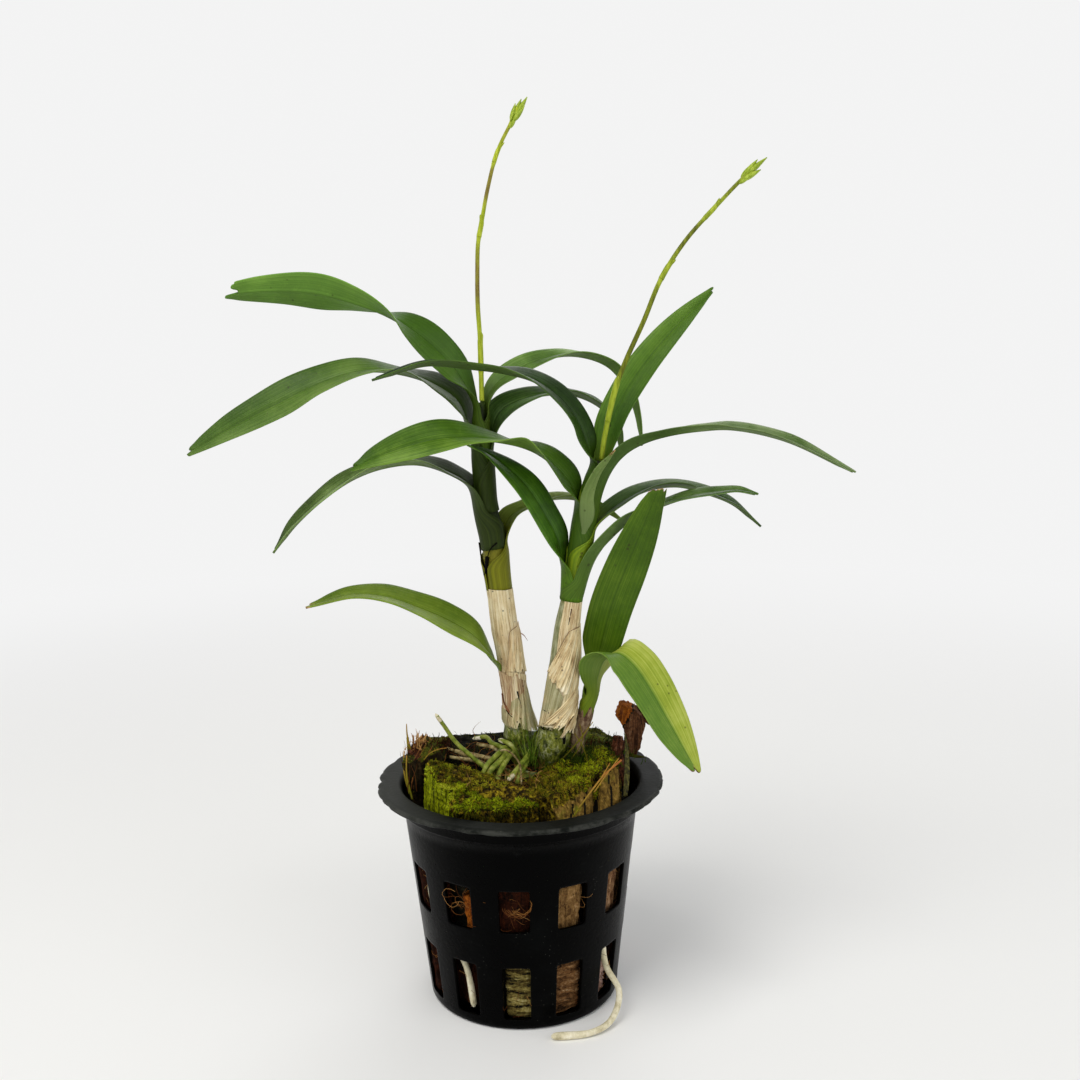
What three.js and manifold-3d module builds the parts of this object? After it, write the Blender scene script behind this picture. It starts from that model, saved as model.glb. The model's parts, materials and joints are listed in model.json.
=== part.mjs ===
// Dendrobium orchid in a black net pot: two leafy canes and a young shoot, two budding
// flower spikes, and a pot packed with husk chunks and moss.
// Millimetres, +Z up, front at -Y. The origin is the centre of the pot's base.

import * as THREE from 'three';
import { mergeVertices } from 'three/addons/utils/BufferGeometryUtils.js';
import Module from 'manifold-3d';

const wasm = await Module();
wasm.setup();

// ---- driving dimensions ----

const POT_HEIGHT = 85;
const RIM_RADIUS = 55;
const RIM_THICKNESS = 1.8;
const BODY_TOP_RADIUS = 46;
const BODY_BOTTOM_RADIUS = 36.5;
const COLLAR_HEIGHT = 7;
const COLLAR_STEP = 0.9;
const WALL = 1.4;
const FLOOR = 1.8;
const POT_SEGMENTS = 48;

const SLOT_COUNT = 12;
const SLOT_HALF_ANGLE = 7.7;
const SLOT_PHASE = -3.2;
const SLOT_ROWS = [
  { low: 4.2, high: 25.8 },
  { low: 40.4, high: 57.2 },
];
const FLOOR_SLOT = { count: 6, inner: 16, outer: 30, width: 5 };

const GAP = 0.4;

const CURVE_SAMPLES = 400;
const STALK_MESH = { sides: 12, step: 7 };
const STEM_MESH = { sides: 7, step: 7 };
const BUD_MESH = { sides: 6, step: 1.6 };
const ROOT_MESH = { sides: 6, step: 6 };
const RHIZOME_MESH = { sides: 10, step: 5 };
const SURFACE_ROOT_MESH = { sides: 7, step: 4 };

const BLADE_THICKNESS = 0.8;
const BLADE_HALF_POINTS = 2;
const BLADE_ROW_LENGTH = 9;
const MIN_BLADE_ROWS = 9;
const BLADE_DROOP = -0.1;
const CLASP_LENGTH = 8;
const CLASP_GAP = 0.55;
const CLASP_HALF_ANGLE = 75;
const CLASP_OPENING = 16;
const BASE_NARROWING = 0.3;
const TIP_WIDTHS = { notched: 0.22, cut: 0.35 };
const TIP_NOTCH = 1.6;
const TIP_LOBE_SLOPE = 1.2;
const TIP_LOBE_STEP = 1.4;

// Stalks are rows of [x, y, z, radius] from the base up.
const CANE_LEFT = [
  [-1, 4, 87, 4.2], [-1, 4, 91, 5.6], [-1, 4, 97, 5.6], [-1, 4, 104, 4.8],
  [-1.6, 4, 118, 4.5], [-3.2, 4, 132, 4.7], [-4.7, 4.5, 142, 5], [-6.4, 5, 158.4, 4.9],
  [-6.5, 5, 158.8, 4.5], [-7.8, 5, 170, 4.7], [-9.1, 5, 181, 4.5], [-10.8, 5.5, 192, 4],
  [-11.5, 6, 205, 3.2], [-12, 6, 218, 2.5], [-11.6, 6, 228.5, 1.7],
];
const CANE_RIGHT = [
  [11.6, -3, 87, 4.2], [11.6, -3, 92, 5.6], [11.9, -3, 99, 5.4], [13.6, -3.2, 107, 6],
  [15.4, -3.5, 115, 6.2], [17.5, -4, 131, 5.8], [18.5, -4, 144.6, 5.1], [20.5, -4, 155, 4.6],
  [20.6, -4, 155.4, 4.3], [22.9, -4, 170, 4.1], [25.3, -4, 181.4, 3.7], [27.3, -4.5, 192, 3.3],
  [29.4, -5, 200, 2.6], [31.6, -5, 207, 1.7],
];
const SHOOT = [
  [21.5, -1, 86, 2.9], [21.5, -1, 91, 2.9], [22.1, -1, 100, 2.4], [24.9, -1.5, 108, 2.4],
  [27.3, -2, 117.4, 2.1], [28.4, -2.4, 124, 1.5],
];

// A leaf clasps its stalk from height `at`, facing `heading` degrees in plan, and then
// follows `spine`, rows of [x, y, z, turn]. Turn rolls the blade about its midrib: 0 lays
// it level across its heading, and a positive turn shows its upper face to the front.
const LEAVES = [
  { name: 'leaf_left_1', stalk: CANE_LEFT, at: 219, heading: 192, width: 16, fold: 14, clasp: 65, spine: [
    [-19, 5, 238.6, 48], [-27.6, 3, 249, 60], [-37, 1, 257, 34], [-45, 0, 262, -4],
    [-58, 0, 266.8, -36], [-72, 0, 270, -62], [-89, 1, 270.8, -60], [-105, 2, 270, -50]] },
  { name: 'leaf_left_2', stalk: CANE_LEFT, at: 204, heading: 190, width: 18, fold: 16, clasp: 70, spine: [
    [-19, 5, 228.5, 32], [-27, 3, 235.6, 24], [-39, 1, 240.6, 2], [-54.5, -1, 242, 16],
    [-69.5, -2, 238, 32], [-85.5, -2, 230.6, 50], [-102, -2, 222.4, 56], [-119, -2, 212.8, 44]] },
  { name: 'leaf_left_3', stalk: CANE_LEFT, at: 181, heading: 184, width: 15, fold: 20, spine: [
    [-16.5, 4.5, 198, 14], [-24, 3, 203.6, 16], [-35, 1, 207.6, 2], [-48, 0, 206.8, 0],
    [-60, 0, 202.6, 8], [-72, 0, 194.6, 18], [-83, 0, 184.4, 18], [-90, 0, 175.3, 10]] },
  { name: 'leaf_left_4', stalk: CANE_LEFT, at: 220, heading: 45, width: 11, fold: 20, clasp: 50, spine: [
    [-6, 10, 235.4, 14], [6, 14, 242.6, 14], [22, 18, 246, 4], [36, 20, 242, 14],
    [43.6, 21, 233.5, 26], [47.8, 22, 222, 40], [49.4, 22, 211, 44]] },
  { name: 'leaf_left_5', stalk: CANE_LEFT, at: 203, heading: 30, width: 13, fold: 20, clasp: 60, spine: [
    [-5.6, 9, 224.4, 26], [6, 13, 230.4, 16], [22, 16, 231.4, 4], [32.5, 17, 227, 22],
    [38.4, 18, 220.6, 16], [41.2, 18, 208.7, 6]] },
  { name: 'leaf_left_6', stalk: CANE_LEFT, at: 169, heading: 46, width: 9, fold: 22, clasp: 60, spine: [
    [-2, 10, 185, 10], [4, 12, 188.6, 10], [13.4, 14, 191.4, 8], [22.3, 15, 191.4, 8],
    [31, 15, 188.4, 8], [41.4, 15, 181.6, 4]] },
  { name: 'leaf_left_7', stalk: CANE_LEFT, at: 119, heading: 205, width: 15, fold: 16, clasp: 50, spine: [
    [-9, -1, 134, 12], [-15, -3, 141, 22], [-25, -5, 148.5, 28], [-36, -7, 154.3, 26],
    [-48.5, -8, 159, 18], [-61, -9, 160, 12], [-76.6, -9, 155.6, 8]] },
  { name: 'leaf_right_1', stalk: CANE_RIGHT, at: 197, heading: 62, width: 12, fold: 16, clasp: 50, spine: [
    [35.6, -1.5, 220, 4], [41, -0.5, 231, 4], [47.4, 0, 240.6, 4], [55.8, 1, 250.6, 4],
    [64.8, 2, 259.8, 4], [73.6, 3, 267.8, 4]] },
  { name: 'leaf_right_2', stalk: CANE_RIGHT, at: 198, heading: 198, width: 14, fold: 18, clasp: 55, spine: [
    [27.6, -8, 212, 48], [24, -9.5, 222.6, 48], [17.4, -11, 231.4, 38], [8.6, -12, 237.7, 22],
    [-2, -13, 241, 6], [-14.4, -14, 242.8, -2], [-30, -15, 244, 0], [-48, -15, 238.7, 0]] },
  { name: 'leaf_right_3', stalk: CANE_RIGHT, at: 181, heading: 199, width: 17, fold: 16, clasp: 50, spine: [
    [22, -8.5, 197.6, 42], [15.4, -11.5, 207, 36], [9.2, -13, 212.2, 14], [3, -14, 215, -8],
    [-6.4, -16, 217.2, 10], [-16.3, -18, 218.4, 26], [-26, -20, 218, 44],
    [-36, -21, 215.8, 52], [-46.7, -21, 212.2, 48], [-56.3, -21, 208, 34]] },
  { name: 'leaf_right_4', stalk: CANE_RIGHT, at: 157, heading: 197, width: 13, fold: 14, clasp: 60, spine: [
    [15.9, -8.8, 179, 54], [10.6, -10, 190, 58], [4.4, -9.5, 199.4, 56], [-2.6, -8, 206.2, 44],
    [-9.5, -6, 210.8, 26], [-15.5, -5, 213.4, 14]] },
  { name: 'leaf_right_5', stalk: CANE_RIGHT, at: 186, heading: -40, width: 10, fold: 26, clasp: 50, spine: [
    [34.8, -8.8, 204.4, 0], [40.4, -9, 210.9, 0], [47.4, -8, 214.8, 0], [56.5, -7.4, 217.4, 0],
    [68.3, -6.5, 218.9, 0], [80, -5.4, 219, 0], [100, -3, 214.1, 4], [126, 0, 201, 4]] },
  { name: 'leaf_right_6', stalk: CANE_RIGHT, at: 174, heading: 28, width: 12, fold: 20, clasp: 55, spine: [
    [35.4, -0.5, 188.4, 8], [43.8, 3, 193.4, 6], [53, 6.5, 196.2, 0], [63, 8.5, 196.4, 4],
    [72.6, 10, 193.4, 18], [83.5, 10, 188.6, 26], [93, 10, 180, 16]] },
  { name: 'leaf_right_7', stalk: CANE_RIGHT, at: 155, heading: -32, width: 11, fold: 18, clasp: 60, spine: [
    [29.4, -6.5, 172.6, 0], [35.8, -4, 179.6, 0], [44.1, -1, 185.8, 4], [56.5, 0, 190.8, 12],
    [66.2, -1, 193.6, 18], [75.8, -2, 194.9, 20], [83.3, -2, 195.2, 16], [89.4, -2, 193.5, 10]] },
  { name: 'leaf_right_8', stalk: CANE_RIGHT, at: 179, heading: -88, width: 4.4, fold: 10, clasp: 26,
    standoff: 1.8, spine: [
      [26.8, -12.4, 195, 10], [29.6, -14.6, 202.6, 26], [35.8, -16.4, 211.2, 20]] },
  { name: 'leaf_shoot_1', stalk: SHOOT, at: 116, heading: 80, width: 16.4, fold: 8, clasp: 60,
    tip: 'cut', spine: [
      [31, 1, 133, 0], [35.6, -3.2, 152, 0], [41, -6.5, 167.2, 0], [46.4, -8.5, 180.8, 0],
      [52.4, -10, 196.4, 0]] },
  { name: 'leaf_shoot_2', stalk: SHOOT, at: 111, heading: -55, width: 21, fold: 12, clasp: 60, spine: [
    [29.4, -6.6, 126.5, 0], [32, -9, 134, 0], [37, -11.5, 136.6, 0], [42.5, -13.5, 133, 0],
    [48, -16, 125.5, 0], [54, -19.5, 115, 0], [60, -23, 104, 0], [64.7, -26, 95.2, 0]] },
];

// Flower spikes: rows of [x, y, z, radius], swelling at each sheathing bract, and the buds
// at the tip as [distance back from the tip, side offset, front offset, length].
const SPIKES = [
  { name: 'flower_spike_left', stem: [
    [-11.4, 6, 229.2, 0.95], [-11.4, 6, 240, 1], [-11.4, 6, 247, 1.35], [-11.5, 6, 252.5, 0.9],
    [-12, 6, 264, 0.85], [-11.8, 5, 276, 0.8], [-11.2, 4, 286.3, 1], [-9.8, 3.2, 293, 1.1],
    [-9, 2.8, 297, 0.75], [-7.2, 2, 305, 0.7], [-5, 1, 313.4, 1.05], [-3.4, 0.6, 317.6, 0.65],
    [-1.3, 0, 321.9, 0.65], [2.1, -1, 327.8, 0.7], [4.6, -1.6, 332, 0.8]],
    buds: [[3.5, -0.8, 0, 5], [2.6, 0.8, -0.5, 5], [1, -0.6, 0.7, 5], [0.2, 0.5, -0.4, 4.6]] },
  { name: 'flower_spike_right', stem: [
    [32.3, -5.9, 207.7, 0.95], [34, -7.6, 219, 1], [36, -8.6, 229.4, 1.2], [37.4, -8.8, 233.4, 0.95],
    [41, -9, 242.9, 0.9], [47.8, -9, 257.6, 0.9], [54, -8, 271.9, 0.9], [62.9, -7, 285.3, 0.8],
    [71.5, -6, 294.5, 1.05], [75, -5.7, 298.2, 0.75], [82.2, -5, 305.4, 0.75], [87, -5, 309.5, 0.9]],
    buds: [[5, -1.2, 0, 6.4], [4, 1.5, -0.6, 6.6], [1.6, -0.9, 0.8, 6], [0.4, 0.9, -0.5, 5.6]] },
];

// A bud's rows: the distance along it, as a part of its length, and its radius.
const BUD_PROFILE = [[-0.35, 0.5], [0.1, 1], [0.5, 1.15], [0.8, 0.7], [1, 0.2]];

const RHIZOME = [[-6, 4, 82, 3], [-1, 3.6, 81.8, 4], [11.6, -2.6, 81.8, 4.2], [21.5, -1, 84.5, 3.6]];
const SURFACE_ROOTS = [
  [[-4, 1, 83, 1.2], [-10, -10, 90.5, 1.2], [-18.6, -9, 95.7, 1], [-24.2, -8, 101.3, 0.95],
    [-28.6, -8, 107.3, 0.95], [-30.7, -8, 112.1, 0.9]],
  [[-5, 3.8, 83, 1.2], [-9, 6, 92, 1.1], [-13, 8, 97, 1.05], [-17.5, 9, 97.2, 1],
    [-24, 12, 93.5, 0.9]],
  [[2, 1.5, 83, 1.2], [3, -6, 93.5, 1.2], [-0.1, -12, 92.6, 1.1], [-2.7, -16.5, 90.6, 1]],
];
const ROOT_RIGHT = [
  [12, -8.2, 80, 1.3], [22, -12, 62, 1.2], [29, -16.5, 40, 1.2], [31.2, -20.4, 17, 1.2],
  [36, -26, 9, 1.15], [32.5, -35, 2.6, 1.15], [25, -41, 1.15, 1.15], [11, -43, 1.15, 1.1],
];
const ROOT_LEFT = [
  [-5.2, 0.6, 77.5, 1.2], [-21, -8, 68, 1.2], [-34, -16.6, 52, 1.2], [-31, -20.4, 36, 1.1],
  [-21.3, -28, 22, 1.1], [-18.6, -28.4, 6, 1],
];

// Husk, bark and charcoal chunks. Earlier rows keep their shape, and later ones give way.
// Rows hold the centre, the size, the turns about X, Y and Z in degrees, and a colour.
const CHUNKS = [
  { name: 'husk_upright', tint: 'rust',
    centre: [42.5, 11.5, 99.5], size: [11.5, 12, 21], turn: [-6, 14, 20] },
  { name: 'moss_slab_left', tint: 'moss',
    centre: [-16, -23.5, 76.5], size: [43, 33, 27], turn: [7, 7, 9] },
  { name: 'moss_slab_right', tint: 'moss',
    centre: [24.5, -18.5, 78.5], size: [36, 42, 27], turn: [-2, -8, -32] },
  { name: 'husk_left', tint: 'rust',
    centre: [-37, 2, 82], size: [9.5, 27, 32], turn: [4, -6, -8] },
  { name: 'charcoal_back', tint: 'charcoal',
    centre: [-17, 25, 77], size: [34, 28, 27], turn: [3, 2, 6] },
  { name: 'husk_back_right', tint: 'bark',
    centre: [21, 22, 79.5], size: [36, 32, 28], turn: [-4, 3, -10] },
  { name: 'husk_centre', tint: 'bark',
    centre: [3, 0, 73], size: [40, 22, 25], turn: [2, -2, 0] },
];
const RING_LAYERS = [
  { prefix: 'bark_middle', low: 32.5, high: 61, tints: ['bark', 'rust', 'rust', 'bark', 'bark'] },
  { prefix: 'bark_lower', low: 2.2, high: 31.8, tints: ['charcoal', 'straw', 'bark', 'bark', 'bark'] },
];
const RING_FIRST_ANGLE = -62;
const RING_BLOCK = { width: 42, depth: 40, spacing: 1.5 };
const CHUNK_ROUNDING = 0.035;
const CHUNK_LUMP = 0.175;
const CHUNK_TOP = 130;

const COLORS = {
  pot: 0x17181b, leaf: 0x3f6f2a, young: 0x6f9a34, stalk: 0x77822f, spike: 0x9db52c, root: 0xb9bf8d,
  bark: 0x5a3a22, rust: 0x8a4a22, moss: 0x6d7a22, charcoal: 0x1c1a17, straw: 0xa98a45,
};
const GLOSS = { pot: 0.3, leaf: 0.45, young: 0.45, spike: 0.5, stalk: 0.6, root: 0.7 };
const MATT = 0.95;

// ---- solids ----

const material = (kind) => new THREE.MeshStandardMaterial({
  color: COLORS[kind],
  roughness: GLOSS[kind] ?? MATT,
  metalness: 0,
});

function toManifold(geometry) {
  const bare = geometry.clone();
  bare.deleteAttribute('normal');
  bare.deleteAttribute('uv');
  const merged = mergeVertices(bare, 1e-4);
  return new wasm.Manifold(new wasm.Mesh({
    numProp: 3,
    vertProperties: Float32Array.from(merged.attributes.position.array),
    triVerts: Uint32Array.from(merged.index.array),
  }));
}

function toMesh(name, solid, look) {
  const { vertProperties, triVerts, numProp } = solid.getMesh();
  const positions = new Float32Array((vertProperties.length / numProp) * 3);
  for (let i = 0; i < positions.length / 3; i += 1) {
    for (let axis = 0; axis < 3; axis += 1) {
      positions[3 * i + axis] = vertProperties[numProp * i + axis];
    }
  }
  const geometry = new THREE.BufferGeometry();
  geometry.setAttribute('position', new THREE.BufferAttribute(positions, 3));
  geometry.setIndex(new THREE.BufferAttribute(Uint32Array.from(triVerts), 1));
  const mesh = new THREE.Mesh(geometry, look);
  mesh.name = name;
  return mesh;
}

function largestBody(solid) {
  const bodies = solid.decompose();
  return bodies.reduce((best, body) => (body.volume() > best.volume() ? body : best));
}

function indexedGeometry(points, triangles) {
  const geometry = new THREE.BufferGeometry().setFromPoints(points);
  geometry.setIndex(triangles);
  return geometry;
}

// A closed skin over rings with equal numbers of points, with a flat cap at each end.
function loft(rings) {
  const sides = rings[0].length;
  const points = rings.flat();
  const triangles = [];
  for (let ring = 0; ring < rings.length - 1; ring += 1) {
    for (let side = 0; side < sides; side += 1) {
      const next = (side + 1) % sides;
      const a = ring * sides + side;
      const b = ring * sides + next;
      triangles.push(a, b, b + sides, a, b + sides, a + sides);
    }
  }
  const last = (rings.length - 1) * sides;
  for (let side = 1; side < sides - 1; side += 1) {
    triangles.push(0, side + 1, side, last, last + side, last + side + 1);
  }
  return indexedGeometry(points, triangles);
}

// Rows of [x, y, z, value] become a smooth curve and a value read at any fraction of it.
function path(rows) {
  const points = rows.map(([x, y, z]) => new THREE.Vector3(x, y, z));
  const curve = new THREE.CatmullRomCurve3(points, false, 'centripetal');
  const lengths = curve.getLengths(CURVE_SAMPLES);
  const total = lengths[lengths.length - 1];
  const marks = rows.map((_, i) => (
    lengths[Math.round((CURVE_SAMPLES * i) / (rows.length - 1))] / total
  ));
  const valueAt = (fraction) => {
    const next = Math.max(1, marks.findIndex((mark) => mark >= fraction - 1e-9));
    const local = (fraction - marks[next - 1]) / (marks[next] - marks[next - 1]);
    return THREE.MathUtils.lerp(rows[next - 1][3], rows[next][3], local);
  };
  return { curve, total, marks, valueAt };
}

// A round tube of stated sides along rows, with a ring about every `step` millimetres.
function tube(rows, { sides, step, grow = 0 }) {
  const { curve, total, marks, valueAt } = path(rows);
  const steps = Math.max(2, Math.round(total / step));
  const fractions = Array.from({ length: steps + 1 }, (_, i) => i / steps);
  for (let i = 1; i < marks.length; i += 1) {
    if ((marks[i] - marks[i - 1]) * total < step / 4) {
      fractions.push(marks[i - 1], marks[i]);
    }
  }
  fractions.sort((a, b) => a - b);
  const stations = fractions.filter((f, i) => i === 0 || (f - fractions[i - 1]) * total > 0.2);
  const side = new THREE.Vector3(0, 1, 0);
  const rings = stations.map((fraction) => {
    const centre = curve.getPointAt(fraction);
    const tangent = curve.getTangentAt(fraction);
    side.addScaledVector(tangent, -side.dot(tangent)).normalize();
    const across = new THREE.Vector3().crossVectors(tangent, side);
    const radius = valueAt(fraction) + grow;
    return Array.from({ length: sides }, (_, i) => {
      const angle = (2 * Math.PI * i) / sides;
      return centre.clone()
        .addScaledVector(side, radius * Math.cos(angle))
        .addScaledVector(across, radius * Math.sin(angle));
    });
  });
  return toManifold(loft(rings));
}

// A thin blade over a grid of { point, normal }, split into triangles alike on both faces.
function blade(grid, thickness) {
  const columns = grid[0].length;
  const shifted = (offset) => grid.flat().map(({ point, normal }) => (
    point.clone().addScaledVector(normal, offset)
  ));
  const points = [...shifted(thickness / 2), ...shifted(-thickness / 2)];
  const under = grid.length * columns;
  const triangles = [];
  for (let row = 0; row < grid.length - 1; row += 1) {
    for (let column = 0; column < columns - 1; column += 1) {
      const a = row * columns + column;
      const b = a + 1;
      const c = b + columns;
      const d = a + columns;
      triangles.push(a, c, b, a, d, c);
      triangles.push(under + a, under + b, under + c, under + a, under + c, under + d);
    }
  }
  const lastRow = grid.length - 1;
  const lastColumn = columns - 1;
  const border = [];
  for (let column = 0; column < lastColumn; column += 1) {
    border.push(column);
  }
  for (let row = 0; row < lastRow; row += 1) {
    border.push(row * columns + lastColumn);
  }
  for (let column = lastColumn; column > 0; column -= 1) {
    border.push(lastRow * columns + column);
  }
  for (let row = lastRow; row > 0; row -= 1) {
    border.push(row * columns);
  }
  border.forEach((a, i) => {
    const b = border[(i + 1) % border.length];
    triangles.push(a, b, under + b, a, under + b, under + a);
  });
  return toManifold(indexedGeometry(points, triangles));
}

// ---- pot ----

const bodyRadius = (z) => THREE.MathUtils.lerp(BODY_BOTTOM_RADIUS, BODY_TOP_RADIUS, z / POT_HEIGHT);

function turned(profile, segments) {
  const points = profile.map(([r, z]) => new THREE.Vector2(r, z));
  const geometry = new THREE.LatheGeometry(points, segments);
  geometry.rotateX(Math.PI / 2);
  return toManifold(geometry);
}

// A box cutter through the wall at an angle in plan, measured from the front.
function radialCutter(angle, inner, outer, width, low, high) {
  const geometry = new THREE.BoxGeometry(width, outer - inner, high - low);
  geometry.translate(0, -(inner + outer) / 2, (low + high) / 2);
  geometry.rotateZ(THREE.MathUtils.degToRad(angle));
  return toManifold(geometry);
}

function netPot() {
  const collarLow = POT_HEIGHT - RIM_THICKNESS - COLLAR_HEIGHT;
  const collar = BODY_TOP_RADIUS + COLLAR_STEP;
  let pot = turned([
    [0, 0],
    [BODY_BOTTOM_RADIUS - 1, 0],
    [bodyRadius(1), 1],
    [bodyRadius(collarLow), collarLow],
    [collar, collarLow + 1],
    [collar, POT_HEIGHT - RIM_THICKNESS],
    [RIM_RADIUS - 0.5, POT_HEIGHT - RIM_THICKNESS],
    [RIM_RADIUS, POT_HEIGHT - RIM_THICKNESS / 2],
    [RIM_RADIUS - 0.4, POT_HEIGHT],
    [collar, POT_HEIGHT],
    [BODY_TOP_RADIUS - WALL + 0.4, POT_HEIGHT - 1.5],
    [bodyRadius(FLOOR) - WALL, FLOOR],
    [0, FLOOR],
  ], POT_SEGMENTS);
  for (const { low, high } of SLOT_ROWS) {
    const radius = bodyRadius((low + high) / 2);
    const width = 2 * radius * Math.sin(THREE.MathUtils.degToRad(SLOT_HALF_ANGLE));
    for (let i = 0; i < SLOT_COUNT; i += 1) {
      const angle = SLOT_PHASE + (360 * i) / SLOT_COUNT;
      pot = pot.subtract(radialCutter(angle, radius - 8, radius + 8, width, low, high));
    }
  }
  const { count, inner, outer, width } = FLOOR_SLOT;
  for (let i = 0; i < count; i += 1) {
    pot = pot.subtract(radialCutter((360 * i) / count, inner, outer, width, -1, FLOOR + 1));
  }
  return toMesh('net_pot', pot, material('pot'));
}

// ---- leaves ----

// Half of a cross-section: the distance across and up at u, from 0 at the midrib to 1 at the
// margin, for a crease of `crease` at the midrib and a bend of `bend` spread over the half.
function sectionAt(u, crease, bend) {
  const angle = crease + bend * u;
  if (Math.abs(bend) < 1e-4) {
    return { across: u * Math.cos(crease), up: u * Math.sin(crease), angle };
  }
  return {
    across: (Math.sin(angle) - Math.sin(crease)) / bend,
    up: (Math.cos(crease) - Math.cos(angle)) / bend,
    angle,
  };
}

// Relative width along a blade: strap-shaped, widest at the middle, tapering to the tip.
function strapWidth(fraction, tipWidth) {
  return fraction < 0.5
    ? 1 - BASE_NARROWING * (1 - fraction / 0.5) ** 2
    : 1 - (1 - tipWidth) * ((fraction - 0.5) / 0.5) ** 2.3;
}

function stalkAt(stalk, z) {
  const above = Math.max(1, stalk.findIndex((row) => row[2] >= z));
  const [low, high] = [stalk[above - 1], stalk[above]];
  const local = (z - low[2]) / (high[2] - low[2]);
  return low.map((value, i) => THREE.MathUtils.lerp(value, high[i], local));
}

function leafGrid({
  stalk, at, heading, width, fold, clasp = CLASP_HALF_ANGLE, standoff = 0, tip = 'notched', spine,
}) {
  const azimuth = THREE.MathUtils.degToRad(heading);
  const outward = new THREE.Vector3(Math.cos(azimuth), Math.sin(azimuth), 0);
  const level = new THREE.Vector3(-Math.sin(azimuth), Math.cos(azimuth), 0);
  const turnSign = outward.x >= 0 ? 1 : -1;
  const clear = CLASP_GAP + BLADE_THICKNESS / 2 + standoff;
  const seats = [at, at + CLASP_LENGTH].map((z) => {
    const [x, y, , radius] = stalkAt(stalk, z);
    return [x + outward.x * (radius + clear), y + outward.y * (radius + clear), z, 0];
  });
  const { curve, total, valueAt } = path([...seats, ...spine]);
  const claspRadius = stalkAt(stalk, at)[3] + clear;
  const claspBend = THREE.MathUtils.degToRad(clasp);
  const rows = Math.max(MIN_BLADE_ROWS, Math.round(total / BLADE_ROW_LENGTH));
  return Array.from({ length: rows + 1 }, (_, row) => {
    const fraction = row / rows;
    const tangent = curve.getTangentAt(fraction);
    const up = new THREE.Vector3().crossVectors(tangent, level).normalize();
    const flat = new THREE.Vector3().crossVectors(up, tangent);
    const turn = turnSign * THREE.MathUtils.degToRad(valueAt(fraction));
    const across = flat.clone().multiplyScalar(Math.cos(turn)).addScaledVector(up, Math.sin(turn));
    const normal = flat.clone().multiplyScalar(-Math.sin(turn)).addScaledVector(up, Math.cos(turn));
    const open = THREE.MathUtils.smoothstep(fraction * total, CLASP_LENGTH, CLASP_LENGTH + CLASP_OPENING);
    const crease = open * THREE.MathUtils.degToRad(fold);
    const bend = THREE.MathUtils.lerp(claspBend, BLADE_DROOP, open);
    const strap = (width / 2) * strapWidth(fraction, TIP_WIDTHS[tip]);
    const half = THREE.MathUtils.lerp(claspRadius * claspBend, strap, open);
    const centre = curve.getPointAt(fraction);
    const depth = open * sectionAt(1, crease, bend).up;
    const columns = [];
    for (let i = -BLADE_HALF_POINTS; i <= BLADE_HALF_POINTS; i += 1) {
      const u = Math.abs(i) / BLADE_HALF_POINTS;
      const side = Math.sign(i);
      const section = sectionAt(u, crease, bend);
      const point = centre.clone()
        .addScaledVector(across, side * half * section.across)
        .addScaledVector(normal, half * (section.up - depth / 2));
      if (row === rows && tip === 'notched') {
        const lobe = (side > 0 ? TIP_LOBE_STEP : 0) - TIP_LOBE_SLOPE * u;
        point.addScaledVector(tangent, u === 0 ? -TIP_NOTCH : lobe);
      }
      const lean = side === 0 ? 0 : section.angle;
      const outNormal = normal.clone().multiplyScalar(Math.cos(lean))
        .addScaledVector(across, -side * Math.sin(lean));
      columns.push({ point, normal: outNormal });
    }
    return columns;
  });
}

function leaf(row) {
  const look = material(row.stalk === SHOOT ? 'young' : 'leaf');
  return toMesh(row.name, blade(leafGrid(row), BLADE_THICKNESS), look);
}

// ---- flower spikes ----

function spike({ name, stem, buds }) {
  const { curve } = path(stem);
  let solid = tube(stem, STEM_MESH);
  const tip = curve.getPointAt(1);
  const way = curve.getTangentAt(1);
  for (const [back, side, front, length] of buds) {
    const base = tip.clone().addScaledVector(way, -back);
    const rows = BUD_PROFILE.map(([along, radius]) => {
      const lean = Math.min(1, along - BUD_PROFILE[0][0]);
      return [
        base.x + way.x * along * length + side * lean,
        base.y + way.y * along * length + front * lean,
        base.z + way.z * along * length,
        radius,
      ];
    });
    solid = solid.add(tube(rows, BUD_MESH));
  }
  return toMesh(name, largestBody(solid), material('spike'));
}

// ---- medium ----

// A lumpy block: a box with softened corners, shaken by smooth waves set by its seed.
function chunkSolid({ centre, size, turn, cuts = 3 }, seed, grow = 0) {
  const geometry = new THREE.BoxGeometry(2, 2, 2, cuts, cuts, cuts);
  const at = geometry.attributes.position;
  const [tx, ty, tz] = turn.map(THREE.MathUtils.degToRad);
  const rotation = new THREE.Matrix4().makeRotationFromEuler(new THREE.Euler(tx, ty, tz, 'XYZ'));
  const unit = new THREE.Vector3();
  for (let i = 0; i < at.count; i += 1) {
    unit.fromBufferAttribute(at, i);
    const wave = (a, b, c) => Math.sin(seed * 1.7 + a * unit.x + b * unit.y + c * unit.z);
    const corner = unit.x ** 2 * unit.y ** 2 + unit.y ** 2 * unit.z ** 2 + unit.z ** 2 * unit.x ** 2;
    const soft = 1 - CHUNK_ROUNDING * corner;
    const lump = [wave(2.9, 3.7, 1.3), wave(1.9, 2.3, 3.9), wave(4.1, 1.7, 2.6)];
    const local = new THREE.Vector3(...size.map((length, axis) => (
      unit.getComponent(axis) * (soft * length / 2 + grow) + CHUNK_LUMP * Math.sqrt(length) * lump[axis]
    )));
    local.applyMatrix4(rotation).add(new THREE.Vector3(...centre));
    at.setXYZ(i, local.x, local.y, local.z);
  }
  return toManifold(geometry);
}

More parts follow.
